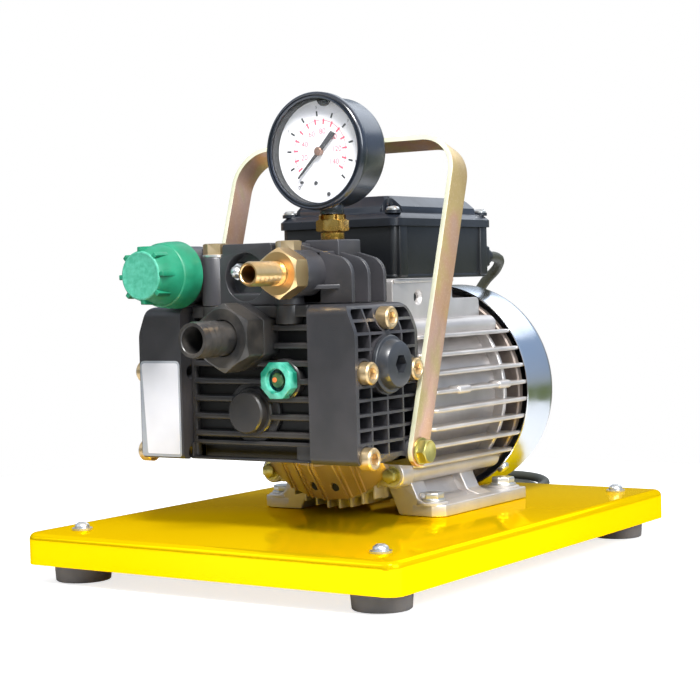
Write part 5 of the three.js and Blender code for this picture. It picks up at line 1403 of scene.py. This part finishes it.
gaugeSpec = {
    "at": (38, 221), "dial": -92, "start": 225, "sweep": 270,
     # the scale starts at the lower left, in degrees
    "shell": [(30.2, -98), (30.3, -98.7), (30.8, -99), (31.3, -98.9), (31.5, -98.1), (32, -98), (32.2, -98.7),
              (32.8, -99), (33.5, -98.6), (34, -97.6), (34, -94), (33.4, -93), (32, -92.8), (31.8, -92),
              (31.8, -73), (31, -70.6), (28.8, -69), (0, -69), (0, -89.2), (30, -89.2), (30, -97.8),
              (30.2, -97.8), (30.2, -98)],
    "neck": (7, 184.9, 192), "relief": (6, -70, -69), "reliefOff": (0, 18), "cavity": (30.4, -98, -89),
    "pane": [(0, -97.5), (29.7, -97.5), (29.7, -96), (0, -96)],
    "disc": [(0, 0), (29.5, 0), (29.5, 1), (0, 1)],
    # shares of the scale; a tick has its inner and outer radius and its width
    "red": {"first": 0.0386, "step": 0.07087, "marks": 14, "tick": (15.6, 18.9, 1.05), "arc": (17.9, 18.2)},
    "black": {"first": 0.0734, "step": 0.1026, "marks": 10, "tick": (20.4, 23.4, 1.1)},
    "numbers": (20, 40, 60, 80, 100, 120, 140), "number": (11.6, 4.6), "smallNumber": (25.6, 2.2),
     # radius, size
    "zero": (-0.03, 25.4, 3.2), "stop": (-0.03, 21.6), "stopPin": [(0, 0), (0.9, 0), (0.9, -1.4), (0, -1.6)],
    "fluidRadius": 28.6, "fluidTurn": (46, 136),
    "wave": (-20, 40, 20.2, 0.1, 0.5, 1.3),  # start, width, height, climb, swell and pace
    "filler": [(0, -1.4), (4.6, -1.4), (4.6, 0), (0, 0)], "fillerOff": (4, 30.4),
    "fillerWithin": (29.4, -97, -86),
    "rivet": [(0, 0), (1.2, 0), (1.1, -0.5), (0, -0.8)], "rivets": ((-3.4, -18), (5.4, -24.7)),
    "needle": [(0.95, 0), (0.55, -21.2), (-0.55, -21.2), (-0.95, 0), (-1.3, 1.2), (-1.8, 14.2), (1.8, 15.2),
               (1.3, 1.2)], "needleDepth": (-93.9, -93.2), "needleTurn": 45,
    "hub": [(0, -92.3), (2.5, -92.3), (2.5, -94.8), (2.1, -95.2), (0, -95.3)],
}


def dialAngle(spec, share):
    # the scale runs clockwise
    return math.radians(spec["start"] - spec["sweep"] * share)


def dialSpot(spec, share, radius, depth=0):
    angle, (x, z) = dialAngle(spec, share), spec["at"]
    return Vector((x + radius * math.cos(angle), spec["dial"] - depth, z + radius * math.sin(angle)))


def tick(spec, share, low, high, width, look):
    mark = block((low, -0.12, -width / 2), (high, 0, width / 2))
    x, z = spec["at"]
    return painted(swung(mark, -dialAngle(spec, share), "Y", (x, spec["dial"], z)), look)


def arc(spec, first, last, low, high, look):
    shares = [first + (last - first) * k / 48 for k in range(49)]
    outer, inner = ([dialSpot(spec, share, radius) for share in shares] for radius in (high, low))
    outline = [(spot.x, spot.z) for spot in outer + inner[::-1]]
    return painted(pulled(outline, "Y", spec["dial"] - 0.1, spec["dial"]), look)


def number(spec, words, share, radius, size, look):
    deselect()
    bpy.ops.object.text_add()
    text = bpy.context.object
    text.data.body, text.data.size = words, size
    text.data.align_x, text.data.align_y = "CENTER", "CENTER"
    text.data.extrude = 0.05
    bpy.ops.object.convert(target="MESH")
    return painted(swung(text, math.pi / 2, "X", dialSpot(spec, share, radius, 0.06)), look)


def makeGaugeCase(spec):
    at = spec["at"]
    shell = spun(spec["shell"], "Y", at, 112)
    neck = softened(barrel(*spec["neck"], "Z", ports["gaugeStem"], 40), 0.4, 2)
    reach, low, high = spec["relief"]
    disc = spun([(0, low), (reach, low), (reach, high), (0, high)], "Y", added(at, spec["reliefOff"]), 32)
    housing = painted(together(shell, neck, softened(disc, 0.3, 2)), "gauge")
    radius, front, back = spec["cavity"]
    inside = lambda spot: math.hypot(spot.x - at[0], spot.z - at[1]) < radius and front < spot.y < back
    # the walls inside the bezel get painted shade
    patched(housing, "dark", lambda face: inside(face.center))
    finished(housing, "gauge_housing", "base", None, ["gauge_case"], 40)
    finished(spun(spec["pane"], "Y", at, 72), "gauge_pane", "base", "glass", ["gauge_glass"])


def scaleMarks(spec):
    red, black, prints = spec["red"], spec["black"], []
    reds = [red["first"] + red["step"] * k for k in range(red["marks"])]
    blacks = [black["first"] + black["step"] * k for k in range(black["marks"])]
    prints += [tick(spec, share, *red["tick"], "red") for share in reds]
    prints += [arc(spec, share, share + red["step"], *red["arc"], "red") for share in reds[:-1]]
    prints += [tick(spec, share, *black["tick"], "black") for share in blacks]
    for value, share in zip(spec["numbers"], reds[1::2]):
        prints.append(number(spec, str(value), share, *spec["number"], "red"))
    for k, share in enumerate(blacks[::2]):
        prints.append(number(spec, str(2 * k + 1), share, *spec["smallNumber"], "black"))
    return prints + [number(spec, "0", *spec["zero"], "black")]


def fluidLine(spec):
    # the paler part of the dial above the fluid, closed by a slightly wavy line
    x, z = spec["at"]
    first, last = spec["fluidTurn"]
    sky = []
    for k in range(33):
        angle = math.radians(first + (last - first) * k / 32)
        sky.append((x + spec["fluidRadius"] * math.cos(angle), z + spec["fluidRadius"] * math.sin(angle)))
    start, width, height, climb, swell, pace = spec["wave"]
    wave = [(x + start + width * k / 12,
             z + height + climb * k + swell * math.sin(k * pace)) for k in range(1, 12)]
    return painted(pulled(sky + wave, "Y", spec["dial"] - 0.05, spec["dial"]), "fluid")


def makeDial(spec):
    at, face = spec["at"], spec["dial"]
    dial = painted(spun(along(spec["disc"], face), "Y", at, 96), "dial")
    stop = dialSpot(spec, *spec["stop"])
    stopPin = painted(spun(along(spec["stopPin"], face), "Y", (stop.x, stop.z), 24), "black")
    filler = spun(along(spec["filler"], face), "Y", added(at, spec["fillerOff"]), 32)
    combined(filler, barrel(*spec["fillerWithin"], "Y", at, 72), "INTERSECT")
    prints = [*scaleMarks(spec), stopPin, fluidLine(spec), painted(filler, "gauge")]
    for off in spec["rivets"]:
        prints.append(painted(spun(along(spec["rivet"], face), "Y", added(at, off), 24), "cork"))
    finished(together(dial, *prints), "gauge_scale", "base", None, ["gauge_dial"])


def makePointer(spec):
    x, z = spec["at"]
    arm = painted(softened(pulled(spec["needle"], "Y", *spec["needleDepth"]), 0.12, 2), "black")
    hub = painted(spun(spec["hub"], "Y", (0, 0), 40), "hub")
    pointer = swung(together(arm, hub), math.radians(spec["needleTurn"]), "Y", (x, 0, z))
    finished(pointer, "gauge_needle", "pointer", None, ["gauge_pointer"])


# brass fitting under the gauge

fittingSpec = {
    "collar": [(0, 161), (5, 161), (5, 169.6), (6.5, 169.6), (6.9, 170.4), (6.9, 174), (8.4, 175.2),
               (0, 175.2)],
    "nut": (16.7, 175, 181.8),
    "crown": [(0, 174.8), (8.4, 174.8), (10.2, 176), (10.2, 180.8), (8.2, 181.9), (0, 181.9)],
    "teeth": [(5.2, 181), (7.9, 181), (7.9, 184.2), (7.4, 184.8), (5.2, 184.8), (5.2, 181)],
    "slot": ((-10, -1.3, 182), (10, 1.3, 186)), "slots": 3, "slotTurn": 0.3,
    "neck": [(0, 181), (5.4, 181), (5.4, 184.8), (0, 184.8)],
}


def makeFitting(spec):
    at = ports["gaugeStem"]
    nut = hexBar(*spec["nut"], "Z", at)
    combined(nut, spun(spec["crown"], "Z", at, 48), "INTERSECT")
    turns = [math.pi * k / spec["slots"] + spec["slotTurn"] for k in range(spec["slots"])]
    teeth = cut(spun(spec["teeth"], "Z", at, 48), *around(block(*spec["slot"]), "Z", (*at, 0), turns))
    collar, neck = spun(spec["collar"], "Z", at, 48), spun(spec["neck"], "Z", at, 40)
    fitting = together(collar, softened(nut, 0.25, 2, 28), teeth, neck)
    finished(fitting, "gauge_adapter", "base", "aged", ["gauge_fitting"])


makeGaugeCase(gaugeSpec)
makeDial(gaugeSpec)
makePointer(gaugeSpec)
makeFitting(fittingSpec)
print("gauge made")

# carrying handle

handleSpec = {
    "half": 83.3, "sheet": 3, "width": 18, "reach": 194.25, "bend": 25, "tilt": 18.05, "bore": 4.6,
    "edge": 0.7,
}


def makeHandle(spec):
    half, top, bend, sheet, w = spec["half"], spec["reach"], spec["bend"], spec["sheet"], spec["width"] / 2
    outer = rounded([(half, -w, 0), (half, top, bend), (-half, top, bend), (-half, -w, 0)], 14)
    small, low, tight = half - sheet, top - sheet, bend - sheet
    inner = rounded([(-small, -w, 0), (-small, low, tight), (small, low, tight), (small, -w, 0)], 14)
    bar = pulled(outer + inner, "Y", -w, w)
    ends = rounded([(-w, -w, w - 0.3), (w, -w, w - 0.3), (w, top + 4, 0), (-w, top + 4, 0)], 10)
    combined(bar, pulled(ends, "X", -half - 3, half + 3), "INTERSECT")
    cut(bar, barrel(spec["bore"], -half - 4, half + 4, "X", (0, 0), 40))
    painted(softened(bar, spec["edge"], 3, 60), "gold")
    # the narrow edges get the painted highlight
    patched(bar, "pale", lambda face: abs(face.normal.y) > 0.6)
    swung(bar, -math.radians(spec["tilt"]), "X", (0, *ports["handleBolt"]))
    finished(bar, "carrying_handle", "carry_handle", None, ["handle"], 40)


makeHandle(handleSpec)
print("handle made")

# plug of the mains lead

plugSpec = {
    "tip": [(0, 0), (4.6, 0), (5, 0.6)], "rings": 6, "ringStart": 2, "ringPitch": 4.2, "ringRadius": 5,
    "widening": 0.45,
    "ring": ((0, 0), (0, 2.4), (-0.9, 2.8), (-0.9, 3.8)), "neck": 28,
    "body": [(8.6, 0), (11, 1.4), (13, 6), (16.2, 14), (17, 18), (17, 33), (16.2, 34), (13, 34),
             (12.6, 33.2), (0, 33.2)],
    "grip": ((-54, 15.2, -1.4), (-37, 16.9, 1.4)), "grips": (2, 3, 4, 7, 8, 9), "gripTurn": 36,
    "pinStart": 81, "pinPitch": 19, "pin": [(0, 0), (1.4, 0), (2.4, 1.6), (2.4, 20), (0, 20)],
}


def makePlug(spec):
    tail = leadPoints[-1] / mm
    start, y, z = tail.x - 0.3, tail.y, tail.z - deck
    profile = list(spec["tip"])
    for k in range(spec["rings"]):
        reach, place = spec["ringRadius"] + k * spec["widening"], spec["ringStart"] + k * spec["ringPitch"]
        profile += [(reach + less, place + step) for less, step in spec["ring"]]
    profile += along(spec["body"], spec["neck"])
    body = moved(spun([(r, -h) for r, h in profile], "X", (y, z), 64), (start, 0, 0))
    grip = softened(block(*(added(corner, (start, 0, 0)) for corner in spec["grip"])), 0.6, 2)
    grips = around(grip, "X", (0, y, z), [math.radians(spec["gripTurn"] * k) for k in spec["grips"]])
    painted(together(body, *grips), "lead")
    pin = along(spec["pin"], start - spec["pinStart"])
    half = spec["pinPitch"] / 2
    pins = [painted(spun(pin, "X", (y + off, z), 32), "steel") for off in (-half, half)]
    return finished(together(body, *pins), "mains_plug", "base", None, ["plug"])


mainsPlug = makePlug(plugSpec)
mainsLead.data.materials.append(looks["lead"].material)
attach(mainsLead, "base")
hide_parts("power_cord", "cord_coil")
print("plug made")

# inner pieces keep their solids and get a finish of their own

innerFinishes = {
    "stator_core": "copper", "rotor": "steel", "front_bearing": "steel", "rear_bearing": "steel",
    "pump_bearing": "steel",
    "run_capacitor": "band", "eccentric": "steel", "piston_yoke": "cast", "left_diaphragm": "rubber",
    "right_diaphragm": "rubber", "regulator_pusher": "brass", "regulator_spring": "steel",
}
for node, look in innerFinishes.items():
    painted(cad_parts[node], look)

# floor, world and lamps

stageSpec = {
    "floor": (0.66, 0.66, 0.66, 1), "glow": 0.75, "mirrored": 0.1, "key": 37, "left": 2, "fill": 24,
    "rim": 6, "sky": 0.64,
    "back": ((0, (0.8, 0.8, 0.8)), (0.34, (0.6, 0.6, 0.54)), (0.44, (0.25, 0.24, 0.16)),
             (0.565, (0.27, 0.25, 0.17)), (0.585, (0.5, 0.53, 0.54)), (0.62, (0.7, 0.8, 0.92)),
             (0.72, (0.5, 0.68, 1)), (0.84, (0.9, 0.96, 1.05)), (1, (1, 1, 1))),
    "right": ((0, (0.7, 0.7, 0.7)), (0.3, (0.5, 0.52, 0.44)), (0.38, (0.24, 0.3, 0.12)),
              (0.47, (0.28, 0.34, 0.15)), (0.5, (0.6, 0.66, 0.7)), (0.54, (0.56, 0.68, 0.88)),
              (0.68, (0.5, 0.68, 1)), (0.84, (0.9, 0.96, 1.05)), (1, (1, 1, 1))),
}


def makeFloor(spec):
    deselect()
    bpy.ops.mesh.primitive_plane_add(size=1.15, location=(0, 0, -0.0006))
    floor = bpy.context.object
    floor.name = "floor"
    look = Look("pale_floor", roughness=0.9, specularLevel=0.1, baseColor=spec["floor"])
    floor.data.materials.append(look.material)
    camera, glossy, through = (look.ray(kind) for kind in ("Camera", "Glossy", "Transmission"))
    glow = (camera + glossy * spec["mirrored"] + through) * spec["glow"]
    white = look.node("ShaderNodeEmission", {}, {"Color": (1, 1, 1, 1), "Strength": glow})
    mix = look.node("ShaderNodeAddShader", {}, {0: Value(look, look.shader.outputs[0]), 1: white})
    look.tree.links.new(mix.socket, look.tree.nodes["Material Output"].inputs["Surface"])


def makeWorld(spec):
    # seen directly or through glass it is white, metal shows the white floor under a graded sky
    world = bpy.data.worlds.new("studio")
    bpy.context.scene.world = world
    sky = Sky(world)
    direction = sky.node("ShaderNodeTexCoord", output="Generated")
    across, above = (sky.node("ShaderNodeSeparateXYZ", {}, {0: direction}, letter) for letter in ("X", "Z"))
    height = sky.node("ShaderNodeMapRange", {}, {"Value": above, "From Min": -1})
    turn = sky.node("ShaderNodeMapRange", {}, {"Value": across, "From Min": -0.1, "From Max": 0.35})
    shade = sky.mix(turn, sky.ramp(height, *spec["back"]), sky.ramp(height, *spec["right"]))
    graded = sky.node("ShaderNodeBackground", {}, {"Color": shade, "Strength": spec["sky"]})
    white = sky.node("ShaderNodeBackground", {}, {"Color": (1, 1, 1, 1), "Strength": 1})
    seen = sky.ray("Camera") + sky.ray("Transmission")
    mixed = sky.node("ShaderNodeMixShader", {}, {0: seen, 1: graded, 2: white})
    sky.tree.links.new(mixed.socket, sky.tree.nodes["World Output"].inputs["Surface"])


def makeLamp(name, place, aim, size, power, colour=(1, 1, 1)):
    data = bpy.data.lights.new(name, "AREA")
    data.shape = "RECTANGLE"
    data.size, data.size_y = size
    data.energy = power
    data.color = colour
    lamp = bpy.data.objects.new(name, data)
    bpy.context.scene.collection.objects.link(lamp)
    lamp.location = place
    lamp.rotation_mode = "QUATERNION"
    lamp.rotation_quaternion = (Vector(aim) - Vector(place)).to_track_quat("-Z", "Y")


makeFloor(stageSpec)
makeWorld(stageSpec)
makeLamp("key", (0.62, -0.81, 1.32), (0, 0, 0.08), (0.4, 0.4), stageSpec["key"], (1, 0.99, 0.97))
makeLamp("left", (-1.15, -1.35, 1.1), (0, 0, 0.12), (0.9, 0.9), stageSpec["left"], (1, 0.98, 0.95))
makeLamp("fill", (1.5, -0.5, 0.9), (0, 0, 0.12), (0.9, 0.9), stageSpec["fill"], (0.95, 0.98, 1))
makeLamp("rim", (-0.1, 1.6, 1.25), (0, 0, 0.15), (1.5, 0.9), stageSpec["rim"], (0.94, 0.97, 1))
bpy.context.scene.view_settings.view_transform = "Standard"

bpy.context.view_layer.update()
print("scene made")
